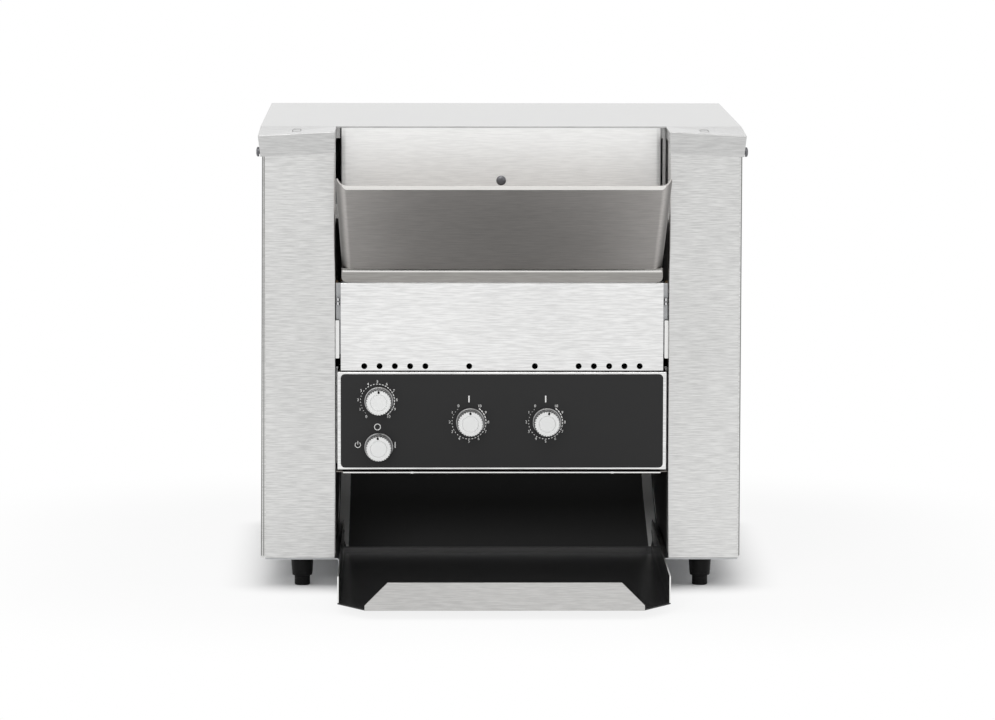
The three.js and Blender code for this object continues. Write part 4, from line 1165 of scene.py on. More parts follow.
def ring_mark(radius, thickness, gap=0):
    """A printed ring, open by a gap in degrees at its top."""
    start, end = 90 + gap / 2, 450 - gap / 2
    outer = arc((0, 0), radius + thickness / 2, start, end, 40)
    inner = arc((0, 0), radius - thickness / 2, end, start, 40)
    if gap:
        return prism(outer + inner, "Z", 0.0, PRINT)
    return carved(prism(outer[:-1], "Z", 0.0, PRINT), prism(inner[:-1], "Z", -MM, MM))


def bar_mark(width, height, place):
    """A printed bar with its middle at a place."""
    x, y = place
    return block((x - width / 2, y - height / 2, 0.0), (x + width / 2, y + height / 2, PRINT))


def dial_numbers(sizes, angles):
    """The digits from 0 upwards, one at each clock angle."""
    digits = []
    for number, degrees in enumerate(angles):
        turn, ring = math.radians(degrees), sizes.number_ring
        place = (ring * math.sin(turn), ring * math.cos(turn), 0.0)
        digits.append(moved(text_mesh(str(number), sizes.digit), place))
    return digits


def show_marks(name, parts):
    """Lays printed marks on the dial panel, round a knob's place."""
    proud, aside = 0.05 * MM, 1.3 * MM
    x, z = dial_place(name)
    front = span("control_overlay")[0][1] - proud
    show(f"{name}_marks", on_front(joined(*parts), (x - aside, front, z)), "print_white")


class TOASTER_OT_knobs(bpy.types.Operator):
    """Four fluted knobs with metal skirts and dark pointers"""

    bl_idname = "toaster.knobs"
    bl_label = "Knobs"

    def execute(self, context):
        sizes = context.scene.toaster_dials
        back, height = knob_heights()
        for name, degrees in POINTERS.items():
            x, z = dial_place(name)
            for word, mesh, finish in (
                    ("cap", knob_cap(sizes, height), "knob_grey"),
                    ("grip", knob_grip(sizes, height), "grip_metal"),
                    ("pointer", knob_pointer(sizes, height), "black_plastic"),
                    ("skirt", knob_skirt(sizes), "skirt_metal")):
                show(f"{name}_{word}", on_front(mesh, (x, back, z), degrees), finish,
                     (f"{name}_knob",), f"{name}_dial")
        return {"FINISHED"}


class TOASTER_OT_dial_marks(bpy.types.Operator):
    """Numbers, arcs of dashes and switch marks on the dial panel"""

    bl_idname = "toaster.dial_marks"
    bl_label = "Dial marks"

    def execute(self, context):
        sizes = context.scene.toaster_dials
        dashes = dash_pattern()
        for name, (angles, count, start, end) in DIAL_MARKS.items():
            marks = [*dial_numbers(sizes, angles),
                     dashes.mesh(Count=count, Radius=sizes.dash_ring, Start=math.radians(start),
                                 End=math.radians(end))]
            if angles is HEAT_ANGLES:
                marks.append(bar_mark(1.2 * MM, 6.5 * MM, (0.0, 22.5 * MM)))
            show_marks(name, marks)
        off = moved(ring_mark(2.9 * MM, 0.75 * MM), (0.0, 19.5 * MM, 0.0))
        bar = bar_mark(0.6 * MM, 3.2 * MM, (0.0, 2.1 * MM))
        standby = moved(joined(ring_mark(2.6 * MM, 0.6 * MM, 70), bar), (-19.0 * MM, 2.0 * MM, 0.0))
        on = bar_mark(0.75 * MM, 5.8 * MM, (17.0 * MM, 2.0 * MM))
        show_marks("power", [off, standby, on])
        return {"FINISHED"}


def deck_edge():
    """The bright front edge of the deck, with its two tabs; its lighter steel is a painted highlight."""
    front, foot = span("lower_deck")[0][1:]
    head = foot + SHEET
    hem = rectangle((front - 0.1 * MM, foot - 0.15 * MM), (front + 1.4 * MM, head + 0.15 * MM))
    reach = span("lower_front_panel")[1][0] - 2 * MM
    edge = prism(rounded(hem, 0.3 * MM, 3, closed=True), "X", -reach, reach)
    half = 1.5 * MM
    tabs = [eased(block((x - half, front - 0.25 * MM, foot - 0.4 * MM),
                        (x + half, front + 1.2 * MM, head + 0.35 * MM)), 0.2 * MM)
            for x in (-87 * MM, 107 * MM)]
    return joined(edge, *tabs)


def tray_edges(side):
    """The bright strips along the top and the front end of a tray wall: a painted highlight on its cut
    edges.
    """
    low, high = span("toast_tray")
    corner, wall, proud = low[1] + 36 * MM, high[0] - SHEET, 0.06 * MM
    top = block((wall - proud, corner, high[2] - 0.2 * MM),
                (high[0] + proud, high[1], high[2] + proud))
    end = block((wall - proud, corner - proud, low[2] + SHEET),
                (high[0] + proud, corner + 0.2 * MM, high[2] + proud))
    return handed(joined(top, end), side)


class TOASTER_OT_bay(bpy.types.Operator):
    """Discharge bay: deck, curved chute and its guide strips"""

    bl_idname = "toaster.bay"
    bl_label = "Discharge bay"

    def execute(self, context):
        show_eased("lower_deck", "dark_steel")
        show_eased("discharge_chute", "chute_coat")
        for side in ("left", "right"):
            show_eased(f"{side}_toast_guide", "guide_steel", edge=0.15 * MM)
            show_eased(f"{side}_inner_wall", "wall_steel")
        show("deck_edge", deck_edge(), "bright_steel")
        return {"FINISHED"}


class TOASTER_OT_tray(bpy.types.Operator):
    """Sliding tray with painted highlights along its cut edges and a brushed front lip"""

    bl_idname = "toaster.tray"
    bl_label = "Toast tray"

    def execute(self, context):
        show_eased("toast_tray", "tray_coat", edge=0.2 * MM)
        show_eased("tray_lip", "lip_steel", edge=0.2 * MM)
        for word, side in SIDES:
            show(f"{word}_tray_edge", tray_edges(side), "bright_steel", body="tray")
        return {"FINISHED"}


def gap_tab(side):
    """The bright slotted tab seen between the lower panel and a pillar; its lighter steel is painted
    light.
    """
    wall = span("right_inner_wall")[0][0] - GAP
    low, high = span("lower_front_panel")
    foot, front = low[2] + 11 * MM, low[1] + 7 * MM
    plate = rectangle((high[0] + 1.4 * MM, foot), (wall, foot + 37 * MM))
    outline = rounded(plate, (1 * MM, 0, 0, 1 * MM), 4, closed=True)
    return handed(eased(prism(outline, "Y", front, front + SHEET), 0.15 * MM), side)


PAN_HEAD = 3 * MM


def pan_screw(head, height=PAN_HEAD, shank=2.2 * MM, grip=8 * MM, steps=40):
    """A pan-head screw about +Z with a domed head, a cross recess and a plain shank."""
    turns = [math.radians(degrees) for degrees in range(0, 90, 10)]
    dome = [(head * math.cos(turn), height * (0.45 + 0.55 * math.sin(turn))) for turn in turns]
    body = lathe([
        (0.0, -grip), (shank - 0.4 * MM, -grip), (shank, -grip + 0.6 * MM), (shank, 0.0),
        (head - 0.15 * MM, 0.0), (head, 0.15 * MM), *dome, (0.0, height),
    ], steps)
    wide, reach, deep = head * 0.13, head * 0.5, height * 0.45
    return carved(body, block((-wide, -reach, deep), (wide, reach, height + MM)),
                  block((-reach, -wide, deep), (reach, wide, height + MM)))


def foot_body(low, high, radius):
    """A tapered foot with a moulded step, a flange ring and a fillet."""
    step, tall = radius * 0.878, high - low
    bore, deep = 5.3 * MM, tall - 3 * MM
    return lathe([
        (0.0, deep), (bore, deep), (bore, 0.0), (step - 0.8 * MM, 0.0),
        (step - 0.2 * MM, 0.25 * MM), (step, 0.9 * MM), (step + 0.3 * MM, 3.2 * MM),
        (step + 0.15 * MM, 3.5 * MM), (step + 0.4 * MM, 3.8 * MM),
        (radius - 0.25 * MM, tall - 2.4 * MM), (radius - 0.4 * MM, tall - 2.1 * MM),
        (radius - 0.1 * MM, tall - 1.8 * MM), (radius, tall - 0.4 * MM),
        (radius - 0.4 * MM, tall), (0.0, tall),
    ], 64)


def foot_insert(radius, collar, tall):
    """The levelling insert, with a rounded sole, two grip grooves and a threaded stem."""
    crest, root, pitch = 5 * MM, 4.4 * MM, 1.25 * MM
    profile = [(0.0, 0.0), (radius - 1.2 * MM, 0.0), (radius - 0.4 * MM, 0.3 * MM), (radius, 1.1 * MM)]
    for groove in (3.0 * MM, 5.6 * MM):
        profile += [(radius, groove), (radius - 0.3 * MM, groove + 0.3 * MM),
                    (radius, groove + 0.6 * MM)]
    profile += [(radius, collar - 0.3 * MM), (radius - 0.3 * MM, collar), (crest, collar)]
    for i in range(int((tall - collar - MM) / pitch)):
        foot = collar + pitch * i
        profile += [(root, foot + pitch * 0.3), (crest, foot + pitch * 0.75)]
    return lathe([*profile, (root, tall), (0.0, tall)], 64)


def gland(low, high):
    """A cable gland about +Z: hexagon base, ribbed dome nut and an open bore.

    Zero is the panel's face.
    """
    nut = (high[0] - low[0]) / 2
    dome = nut * 0.82
    bore, crest, root, pitch = 5.5 * MM, 10 * MM, 9.4 * MM, 1.5 * MM
    foot, base, reach = 0.3 * MM, 5 * MM, 14 * MM
    top = base + reach
    inside = high[1] - low[1] - top
    rounding = lathe([(0, foot), (nut * 0.9, foot), (nut, 1 * MM), (nut, base - 0.7 * MM),
                      (nut * 0.9, base), (0, base)], 72)
    collar = carved(prism(polygon(nut * 0.99, 6), "Z", foot, base), rounding, operation="INTERSECT")
    thread = [(bore, -inside), (root, -inside)]
    for i in range(int(inside / pitch)):
        step = pitch * i - inside
        thread += [(crest, step + 0.5 * MM), (root, step + 1.3 * MM)]
    thread += [(root, foot), (bore, foot), (bore, -inside)]
    cap = lathe([
        (bore, base), (dome, base), (dome, base + 6 * MM), (nut * 0.76, base + 9 * MM),
        (bore + 1.6 * MM, top - 1 * MM), (bore + 1 * MM, top - 0.3 * MM),
        (bore + 0.3 * MM, top - 0.3 * MM), (bore, top - 1 * MM), (bore, base),
    ], 72)
    rib = block((nut * 0.78, -0.45 * MM, base + 0.1 * MM), (nut * 0.87, 0.45 * MM, base + 6.2 * MM))
    ribs = ring_pattern().mesh(rib, Count=18, Turn=math.radians(20))
    return joined(carved(collar, cylinder(bore, -MM, base + MM)), lathe(thread, 48), cap, ribs)


@cache
def ring_pattern():
    """Copies of the base mesh turned about Z by equal steps."""
    tree = Pattern("ring_of_copies", Count=12, Turn=math.radians(30))
    points, index = tree.points()
    turned = tree.vector(z=index * tree.size("Turn"))
    return tree.close(tree.copies(points, tree.given, Rotation=turned), "black_plastic")


class TOASTER_OT_feet(bpy.types.Operator):
    """Four moulded feet with levelling inserts"""

    bl_idname = "toaster.feet"
    bl_label = "Feet"

    def execute(self, context):
        for end in ("front", "rear"):
            for side in ("left", "right"):
                name = f"{end}_{side}_foot"
                low, high = span(name)
                x, y, _ = middle(name)
                shell = foot_body(low[2], high[2], (high[0] - low[0]) / 2)
                show(f"{name}_shell", moved(shell, (x, y, low[2])), "black_plastic", (name,))
                low, high = span(f"{name}_insert")
                sole = foot_insert((high[0] - low[0]) / 2, 9.3 * MM, high[2])
                show(f"{name}_sole", moved(sole, (x, y, 0.0)), "black_plastic",
                     (f"{name}_insert",), f"{end}_{side}_leveller")
        return {"FINISHED"}


class TOASTER_OT_screws(bpy.types.Operator):
    """Pan-head screws, and the tabs and screws in the gaps beside the lower panel"""

    bl_idname = "toaster.screws"
    bl_label = "Screws"

    def execute(self, context):
        for word, side in SIDES:
            low, high = span(f"{word}_lid_screw")
            _, y, z = middle(f"{word}_lid_screw")
            screw = pan_screw((high[2] - low[2]) / 2)
            x = side * (max(abs(low[0]), abs(high[0])) - PAN_HEAD)
            turn = Matrix.Rotation(side * math.pi / 2, 4, "Y")
            show(f"{word}_lid_screw_head", moved(screw, (x, y, z), turn), "dark_screw",
                 (f"{word}_lid_screw",))
            show(f"{word}_gap_tab", gap_tab(side), "bright_steel")
        low, high = span("upper_panel_screw")
        x, _, z = middle("upper_panel_screw")
        screw = on_front(pan_screw((high[0] - low[0]) / 2), (x, low[1] + PAN_HEAD, z), 20)
        show("upper_panel_screw_head", screw, "dark_screw", ("upper_panel_screw",))
        low, high = span("lower_front_panel")
        x = (high[0] + span("right_front_cover")[0][0]) / 2
        heads = []
        for _, side in SIDES:
            for rise in (64 * MM, 68 * MM):
                head = pan_screw(1.7 * MM, 1.2 * MM, 0.9 * MM, 3 * MM, 24)
                heads.append(on_front(head, (side * x, low[1] + 6 * MM, low[2] + rise), 30))
        show("gap_screws", joined(*heads), "screw_steel")
        return {"FINISHED"}


FAN_HOLE_STEP = 47 * MM
BLADES = 7
BLADE_PITCH = (58, 28)


def fan_frame():
    """The fan's frame, with its four screw holes."""
    x, _, z = middle("fan_frame")
    reach = FAN_HOLE_STEP / 2
    holes = [moved(cylinder(2.2 * MM, -1.0, 1.0, 24), (x + u, 0.0, z + v), TO_FRONT)
             for u in (-reach, reach) for v in (-reach, reach)]
    return carved(eased(node_mesh("fan_frame"), 0.3 * MM), *holes)


def fan_blade(root, reach, depth):
    """A blade of the fan about Z, twisted and cambered, its X axis outwards."""
    steep, flat = BLADE_PITCH
    steps, chord_steps = 8, 6
    rows = []
    for i in range(steps + 1):
        radius = root + (reach - root) * i / steps
        twist = math.radians(steep - (steep - flat) * i / steps)
        row = []
        for k in range(chord_steps + 1):
            share = k / chord_steps
            along = (share - 0.5) * depth / math.sin(math.radians(steep)) * 0.9
            camber = 1.6 * MM * (1 - (2 * share - 1) ** 2)
            angle = (along * math.cos(twist) - camber * math.sin(twist)) / radius
            z = along * math.sin(twist) + camber * math.cos(twist)
            row.append((radius * math.cos(angle), radius * math.sin(angle), z))
        rows.append(row)
    return thickened(grid(rows), 1.0 * MM)


def fan_wheel():
    """Hub and blades of the fan about Z, cut level with its two faces."""
    low, high = span("fan_rotor")
    hub, half = 10 * MM, (high[1] - low[1]) / 2 - 0.3 * MM
    reach = (high[0] - low[0]) / 2 - 0.3 * MM
    blade = fan_blade(hub - 1 * MM, reach, 2 * half)
    blades = ring_pattern().mesh(blade, Count=BLADES, Turn=2 * math.pi / BLADES)
    beyond = hub + 20 * MM
    blades = carved(blades, cylinder(beyond, -1.0, -half), cylinder(beyond, half, 1.0))
    bore, floor, face = 3.3 * MM, -half + 3 * MM, half - 0.1 * MM
    return joined(blades, lathe([
        (bore, floor), (bore, face), (hub - 0.6 * MM, face), (hub, half - 0.7 * MM),
        (hub, -half + 1.2 * MM), (hub - 1.2 * MM, -face), (0.0, -face), (0.0, floor), (bore, floor),
    ], 64))


class TOASTER_OT_rear_parts(bpy.types.Operator):
    """Fan, its frame and the cable gland"""

    bl_idname = "toaster.rear_parts"
    bl_label = "Fan and gland"

    def execute(self, context):
        low, high = span("power_gland")
        x, _, z = middle("power_gland")
        outside = 19 * MM
        parts = moved(gland(low, high), (x, high[1] - outside, z), TO_REAR)
        show("gland_parts", parts, "black_plastic", ("power_gland",))
        show("fan_frame_shell", fan_frame(), "black_plastic", ("fan_frame",))
        x, _, z = middle("fan_frame")
        wheel = moved(fan_wheel(), (x, middle("fan_rotor")[1], z), TO_REAR)
        show("fan_wheel", wheel, "cast_grey", ("fan_rotor",), "fan")
        return {"FINISHED"}


MOTOR_TEETH, SHAFT_TEETH = 12, 18
STRIP_PLACES = (-140 * MM, 0.0, 140 * MM)


class WorksSizes(bpy.types.PropertyGroup):
    """Belt, chain and heaters."""

    belt_strands: IntProperty(
        name="Belt strands", description="Wires along the belt's loop", default=84, min=8)
    belt_wire: length("Belt wire", "Radius of a belt wire", 0.8)
    belt_joints: IntProperty(name="Belt joints", description="Hooks along a wire", default=8, min=2)
    element: length("Element radius", "Radius of a heater tube", 3.95)
    chain_pitch: length("Chain pitch", "Step between the chain's pins", 8)


# Stands a mesh drawn in (y, z) in its plane, with its own Z axis along X.
TO_SIDE = Matrix(((0, 0, 1, 0), (1, 0, 0, 0), (0, 1, 0, 0), (0, 0, 0, 1)))


@cache
def along_pattern(finish):
    """Copies of a piece along a given loop, its X axis along the loop and its Z axis across."""
    tree = Pattern(f"along_loop_{finish}", Count=20, Every=1, Phase=0, Shape=bpy.types.Object)
    curve = tree.node("GeometryNodeMeshToCurve", None, {"Mesh": tree.given})
    spaced = tree.node("GeometryNodeResampleCurve", None, {"Curve": curve, "Count": tree.size("Count")})
    turned = tree.node("FunctionNodeAlignRotationToVector", {"axis": "X", "pivot_axis": "Z"}, {
        "Vector": tree.node("GeometryNodeInputTangent")})
    shape = tree.node("GeometryNodeObjectInfo", None, {"Object": tree.size("Shape")}, "Geometry")
    index = tree.node("GeometryNodeInputIndex")
    chosen = 0.5 - abs(index.math("MODULO", index, tree.size("Every")) - tree.size("Phase"))
    return tree.close(tree.copies(spaced, shape, Rotation=turned, Selection=chosen), finish)


def loop_line(first, first_radius, second, second_radius, steps=48):
    """Points round two circles and along the straight runs that touch both."""
    first, second = Vector(first), Vector(second)
    run = second - first
    heading = math.degrees(math.atan2(run.y, run.x))
    spread = math.degrees(math.acos((first_radius - second_radius) / run.length))
    far = arc(second, second_radius, heading + spread, heading - spread, steps)
    near = arc(first, first_radius, heading - spread, heading - 360 + spread, steps)
    return far + near


def loop_length(line):
    """Length of a closed line of points."""
    return sum((Vector(a) - Vector(b)).length for a, b in zip(line, line[1:] + line[:1]))


def along_loop(mesh, line, finish, **sizes):
    """Copies of a mesh along a loop in (y, z), as one mesh in place."""
    count = len(line)
    loop = bpy.data.meshes.new("loop")
    loop.from_pydata([(u, v, 0.0) for u, v in line], [(i, (i + 1) % count) for i in range(count)], [])
    shape = held("shape", mesh)
    copies = along_pattern(finish).mesh(loop, Shape=shape, **sizes)
    bpy.data.objects.remove(shape)
    return moved(copies, turn=TO_SIDE)


def belt_strand(reach, pitch, wire, joints):
    """One wire across the belt, which hooks round the next wire at every joint."""
    back = -0.3 * pitch
    points = [(back, 0.0, -reach)]
    for i in range(joints):
        z = -reach + 2 * reach * (i + 0.5) / joints
        points += [(back, 0.0, z - 3.2 * MM), (0.75 * pitch, 0.25 * wire, z - 2.2 * MM),
                   (0.9 * pitch, 0.3 * wire, z), (0.75 * pitch, 0.25 * wire, z + 2.2 * MM),
                   (back, 0.0, z + 3.2 * MM)]
    return tube([*points, (back, 0.0, reach)], wire, 6)


def belt_strip(x, front, rear, radius):
    """A flat strip round both rollers, at one place across the belt."""
    half, thick = 1 * MM, 1.1 * MM
    outer, inner = (loop_line(front, radius + t, rear, radius + t) for t in (thick, -thick))
    sides = ((x - half, outer), (x - half, inner), (x + half, inner), (x + half, outer))
    corners = [(side, y, z) for side, loop in sides for y, z in loop]
    return plan_mesh("strip", corners, quads(len(sides), len(outer), around=True, closed=True))


def belt_mesh(sizes):
    """The wire net round both rollers, with a strip along its middle and near each edge."""
    low, high = span("conveyor_belt")
    front, rear = middle("idler_shaft")[1:], middle("drive_shaft")[1:]
    radius = front[0] - low[1] - 1.2 * MM
    line = loop_line(front, radius, rear, radius)
    pitch = loop_length(line) / sizes.belt_strands
    strand = belt_strand(high[0] - 3.5 * MM, pitch, sizes.belt_wire, sizes.belt_joints)
    net = along_loop(strand, line, "belt_steel", Count=sizes.belt_strands)
    return joined(net, *[belt_strip(x, front, rear, radius) for x in STRIP_PLACES])


def hairpin(sizes, name):
    """A heater tube that runs in from the left wall, turns back and runs out again."""
    low, high = span(name)
    radius, half, steps = sizes.element, 4 * MM, 24
    start = Vector((low[0], low[1] + half, high[2] - half))
    end = Vector((low[0], high[1] - half, low[2] + half))
    side, bend = (end - start).normalized(), (end - start).length / 2
    centre = (start + end) / 2
    centre.x = high[0] - half - bend
    turns = [math.pi * i / steps for i in range(steps + 1)]
    path = [centre + Vector((bend * math.sin(turn), 0, 0)) - side * bend * math.cos(turn)
            for turn in turns]
    whole = [tube([start, *path, end], radius, 20)]
    bore, collar, flange = radius + 0.05 * MM, radius + 0.9 * MM, radius + 1.6 * MM
    for leg in (start, end):
        stud = lathe([
            (bore, 0.0), (radius + 1.2 * MM, 0.0), (flange, 0.4 * MM), (flange, 5 * MM),
            (collar, 5.4 * MM), (collar, 8 * MM), (bore, 8 * MM), (bore, 0.0),
        ], 32)
        place = tuple(leg + Vector((1 * MM, 0, 0)))
        whole.append(moved(stud, place, Matrix.Rotation(math.pi / 2, 4, "Y")))
    return joined(*whole)


def chain_link(pitch, height, thickness, inside, roller):
    """One link along X: two waisted plates, with the bushes or pins at its ends."""
    half, waist = height / 2, height * 0.35
    line = arc((-pitch / 2, 0.0), half, 90, 270, 10) + [(0.0, -waist)]
    line += arc((pitch / 2, 0.0), half, -90, 90, 10) + [(0.0, waist)]
    plates = [prism(line, "Z", side * inside - thickness / 2, side * inside + thickness / 2)
              for side in (-1, 1)]
    pins = [moved(cylinder(roller, -inside, inside, 16), (x, 0.0, 0.0)) for x in (-pitch / 2, pitch / 2)]
    return joined(*plates, *pins)


def chain_mesh(sizes):
    """Inner and outer links by turns round both sprockets."""
    near, far = middle("motor_sprocket")[1:], middle("shaft_sprocket")[1:]
    near_radius, far_radius = (sizes.chain_pitch / (2 * math.sin(math.pi / teeth))
                               for teeth in (MOTOR_TEETH, SHAFT_TEETH))
    line = loop_line(near, near_radius, far, far_radius)
    count = 2 * round(loop_length(line) / sizes.chain_pitch / 2)
    step = loop_length(line) / count
    inner = chain_link(step, 4.9 * MM, 0.9 * MM, 1.75 * MM, 1.7 * MM)
    outer = chain_link(step, 4.9 * MM, 0.8 * MM, 2.4 * MM, 1.0 * MM)
    rows = [along_loop(shape, line, "dark_steel", Count=count, Every=2, Phase=phase)
            for phase, shape in enumerate((inner, outer))]
    return moved(joined(*rows), (middle("drive_chain")[0], 0.0, 0.0))


class TOASTER_OT_belt(bpy.types.Operator):
    """Wire belt, its rollers and their bearings"""

    bl_idname = "toaster.belt"
    bl_label = "Belt and rollers"

    def execute(self, context):
        sizes = context.scene.toaster_works
        show("belt_net", belt_mesh(sizes), "belt_steel", ("conveyor_belt",))
        for name in ("idler_shaft", "drive_shaft"):
            show_eased(name, "plated_steel", edge=0.4 * MM)
        for side in ("left", "right"):
            for end in ("idler", "drive"):
                show_eased(f"{side}_{end}_bearing", "bronze", edge=0.4 * MM)
        return {"FINISHED"}


class TOASTER_OT_drive(bpy.types.Operator):
    """Gear motor, sprockets and roller chain"""

    bl_idname = "toaster.drive"
    bl_label = "Drive"

    def execute(self, context):
        show_eased("drive_motor", "cast_grey", edge=0.8 * MM)
        for name in ("motor_sprocket", "shaft_sprocket"):
            show_eased(name, "plated_steel", edge=0.15 * MM)
        chain = chain_mesh(context.scene.toaster_works)
        show("chain_links", chain, "dark_steel", ("drive_chain",))
        return {"FINISHED"}


class TOASTER_OT_heat(bpy.types.Operator):
    """Heater tubes, reflectors and the controls behind the dials"""

    bl_idname = "toaster.heat"
    bl_label = "Heaters and controls"

    def execute(self, context):
        sizes = context.scene.toaster_works
        for row in ("upper", "lower"):
            for end in ("front", "rear"):
                name = f"{row}_{end}_element"
                show(f"{name}_tube", hairpin(sizes, name), "element_steel", (name,))
            show_eased(f"{row}_reflector", "plated_steel")
        show_eased("speed_control", "plated_steel", edge=0.6 * MM)
        for name in ("power_switch", "top_heat_control", "bottom_heat_control"):
            show_eased(name, "black_plastic", edge=0.8 * MM)
        return {"FINISHED"}


def angle(name, description, degrees):
    """An angle of the camera that a user can change."""
    return FloatProperty(name=name, description=description, default=math.radians(degrees),
                         subtype="ANGLE")


def strength(name, description, default):
    """The strength of a light that a user can change."""
    return FloatProperty(name=name, description=description, default=default, min=0.0)


class StageSizes(bpy.types.PropertyGroup):
    """Camera and light of the studio."""

    camera_place: FloatVectorProperty(
        name="Camera place", description="Where the camera stands", size=3, subtype="TRANSLATION",
        default=(-0.07916, -4.84004, 0.7656))
    camera_pitch: angle("Pitch", "How far the camera looks down", 6.574)
    camera_yaw: angle("Yaw", "How far the camera looks to the right", 0.911)
    camera_roll: angle("Roll", "How far the camera is tipped", 0.115)
    lens: FloatProperty(name="Lens", description="Focal length in millimetres", default=177.37, min=1.0)
    sky: strength("Sky", "Strength of the room's light", 0.55)
    key: strength("Key", "Power of the large soft lamp", 14.0)
    front: strength("Front", "Power of the lamp in front", 20.0)
    low: strength("Low", "Power of the lamp that fills the bay", 14.0)
    fill: strength("Fill", "Power of the side lamps", 8.0)


def soft_lamp(name, place, target, power, width, height, reflected=False):
    """A rectangular lamp that faces a point, and that metal can mirror or not."""
    data = bpy.data.lights.new(name, "AREA")
    data.shape = "RECTANGLE"
    data.size = width
    data.size_y = height
    data.energy = power
    lamp = held(name, data)
    lamp.location = place
    lamp.visible_camera = False
    lamp.visible_glossy = reflected
    lamp.rotation_euler = (Vector(target) - Vector(place)).to_track_quat("-Z", "Y").to_euler()


WHITE = (1.0, 1.0, 1.0, 1.0)
PALE = (0.92, 0.92, 0.92, 1.0)
FLOOR_REACH = 30.0
EDGE_OF_SHADE = 25 * MM


def seen_ray(tree):
    """1 for rays that show the background: from the camera, off metal and through glass."""
    path = tree.node("ShaderNodeLightPath", output="Is Camera Ray")
    return path.greatest(path.other("Is Glossy Ray")).greatest(path.other("Is Transmission Ray"))


def white_world(sky):
    """A pale room that lights softly and shows as white."""
    world = bpy.data.worlds.new("studio")
    world.use_nodes = True
    tree = Tree(world.node_tree)
    world.node_tree.nodes.clear()
    room = tree.node("ShaderNodeBackground", None, {"Color": WHITE, "Strength": sky})
    white = tree.node("ShaderNodeBackground", None, {"Color": WHITE, "Strength": 1.0})
    mixed = tree.node("ShaderNodeMixShader", None, {0: seen_ray(tree), 1: room, 2: white})
    tree.node("ShaderNodeOutputWorld", None, {"Surface": mixed})
    bpy.context.scene.world = world


def floor_finish():
    """Pale floor that holds the shadow under the toaster and turns plain white beside it."""
    made = Finish("floor_pale")
    low, high = span("right_base_pan")
    half = (high[0] - EDGE_OF_SHADE, (high[1] - low[1]) / 2 - EDGE_OF_SHADE, 1.0)
    centre = (0.0, middle("right_base_pan")[1], 0.0)
    offset = made.vectors("ABSOLUTE", made.vectors("SUBTRACT", made.point, centre))
    outside = made.vectors("MAXIMUM", made.vectors("SUBTRACT", offset, half), (0.0, 0.0, 0.0))
    distance = made.vectors("LENGTH", outside, output="Value")
    far = distance.ramp(0.0, 3 * EDGE_OF_SHADE) * 0.85 + distance.ramp(0.12, 0.45) * 0.15
    pale = made.node("ShaderNodeBsdfDiffuse", None, {"Color": PALE})
    white = made.node("ShaderNodeEmission", None, {"Color": WHITE, "Strength": 1.0})
    mixed = made.node("ShaderNodeMixShader", None, {0: far * seen_ray(made), 1: pale, 2: white})
    made.node("ShaderNodeOutputMaterial", None, {"Surface": mixed})
    return made.material


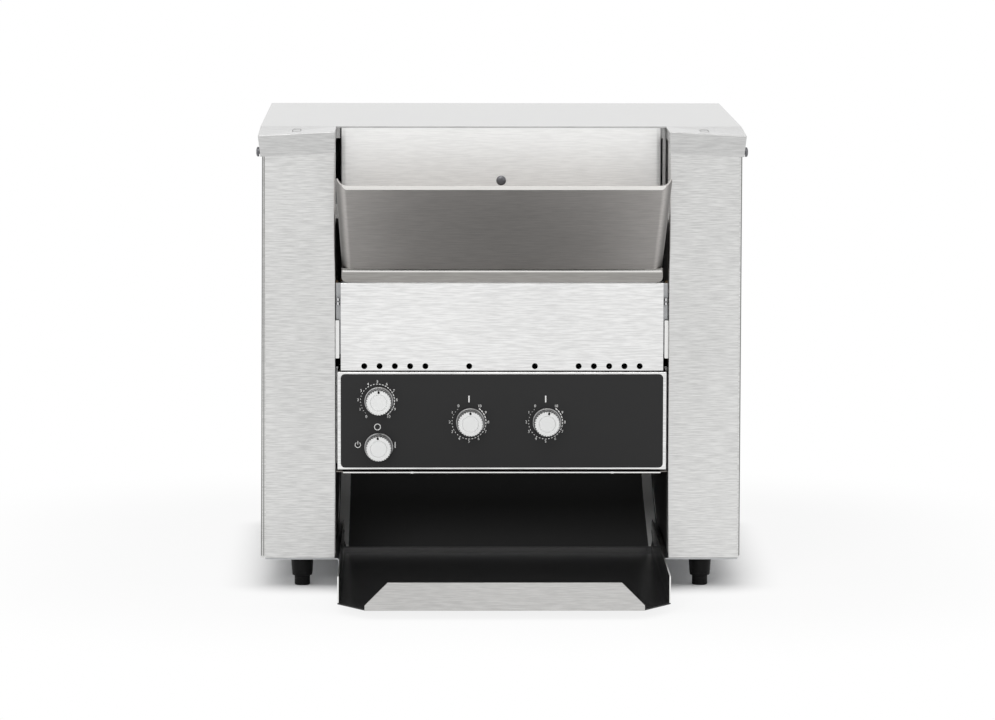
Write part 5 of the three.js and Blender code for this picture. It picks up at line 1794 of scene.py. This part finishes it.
class TOASTER_OT_stage(bpy.types.Operator):
    """Floor, white room, soft lamps and the camera"""

    bl_idname = "toaster.stage"
    bl_label = "Studio stage"

    def execute(self, context):
        scene, sizes = context.scene, context.scene.toaster_stage
        scene.view_settings.view_transform = "Standard"
        white_world(sizes.sky)
        mesh = bpy.data.meshes.new("floor")
        corners = rectangle((-FLOOR_REACH, -FLOOR_REACH), (FLOOR_REACH, FLOOR_REACH))
        mesh.from_pydata([(x, y, 0.0) for x, y in corners], [], [(0, 1, 2, 3)])
        mesh.materials.append(floor_finish())
        floor = held("floor", mesh)
        target = (0.0, 0.0, 0.2)
        soft_lamp("key_lamp", (-0.3, -1.9, 2.2), target, sizes.key, 1.6, 1.2, reflected=True)
        soft_lamp("front_lamp", (-0.8, -3.1, 1.15), (0.0, 0.0, 0.15), sizes.front, 1.0, 0.6)
        soft_lamp("low_lamp", (0.0, -3.4, 0.4), (0.0, 0.0, 0.1), sizes.low, 1.2, 0.5)
        soft_lamp("left_lamp", (-2.4, -0.6, 1.3), target, sizes.fill, 1.2, 1.2)
        soft_lamp("right_lamp", (2.4, -0.4, 1.4), target, sizes.fill, 1.2, 1.2)
        data = bpy.data.cameras.new("camera")
        data.lens = sizes.lens
        data.sensor_width = 36.0
        data.clip_end = 100.0
        camera = held("camera", data)
        turn = (Matrix.Rotation(-sizes.camera_yaw, 4, "Z")
                @ Matrix.Rotation(math.pi / 2 - sizes.camera_pitch, 4, "X")
                @ Matrix.Rotation(sizes.camera_roll, 4, "Z"))
        camera.matrix_world = Matrix.Translation(sizes.camera_place) @ turn
        scene.camera = camera
        return {"FINISHED"}


class TOASTER_OT_finishes(bpy.types.Operator):
    """Finishes of the CAD solids that show as they are"""

    bl_idname = "toaster.finishes"
    bl_label = "Finishes"

    def execute(self, context):
        for row in frame["record"]["subparts"]:
            dress(NODES[row["node"]], row["material_slot"])
        return {"FINISHED"}


class TOASTER_PT_panel(bpy.types.Panel):
    """Steps of the toaster, in the order in which they run"""

    bl_label = "Toaster"
    bl_idname = "TOASTER_PT_panel"
    bl_space_type = "VIEW_3D"
    bl_region_type = "UI"
    bl_category = "Toaster"

    def draw(self, context):
        for step in STEPS:
            self.layout.operator(step.bl_idname)
        for group in GROUPS:
            values = getattr(context.scene, group)
            for name in values.__annotations__:
                self.layout.prop(values, name)


STEPS = (
    TOASTER_OT_stage, TOASTER_OT_finishes, TOASTER_OT_casing, TOASTER_OT_ramp, TOASTER_OT_knobs,
    TOASTER_OT_dial_marks, TOASTER_OT_bay, TOASTER_OT_tray, TOASTER_OT_feet, TOASTER_OT_screws,
    TOASTER_OT_rear_parts, TOASTER_OT_belt, TOASTER_OT_drive, TOASTER_OT_heat,
)
GROUPS = {
    "toaster_stage": StageSizes, "toaster_casing": CasingSizes, "toaster_ramp": RampSizes,
    "toaster_dials": DialSizes, "toaster_works": WorksSizes, "toaster_colours": FinishColours,
}


def register():
    for kind in (*GROUPS.values(), *STEPS, TOASTER_PT_panel):
        bpy.utils.register_class(kind)
    for name, kind in GROUPS.items():
        setattr(bpy.types.Scene, name, PointerProperty(type=kind))


def unregister():
    for name in GROUPS:
        delattr(bpy.types.Scene, name)
    for kind in reversed((*GROUPS.values(), *STEPS, TOASTER_PT_panel)):
        bpy.utils.unregister_class(kind)


def main():
    register()
    for step in STEPS:
        group, name = step.bl_idname.split(".")
        getattr(getattr(bpy.ops, group), name)()


if __name__ == "__main__":
    main()
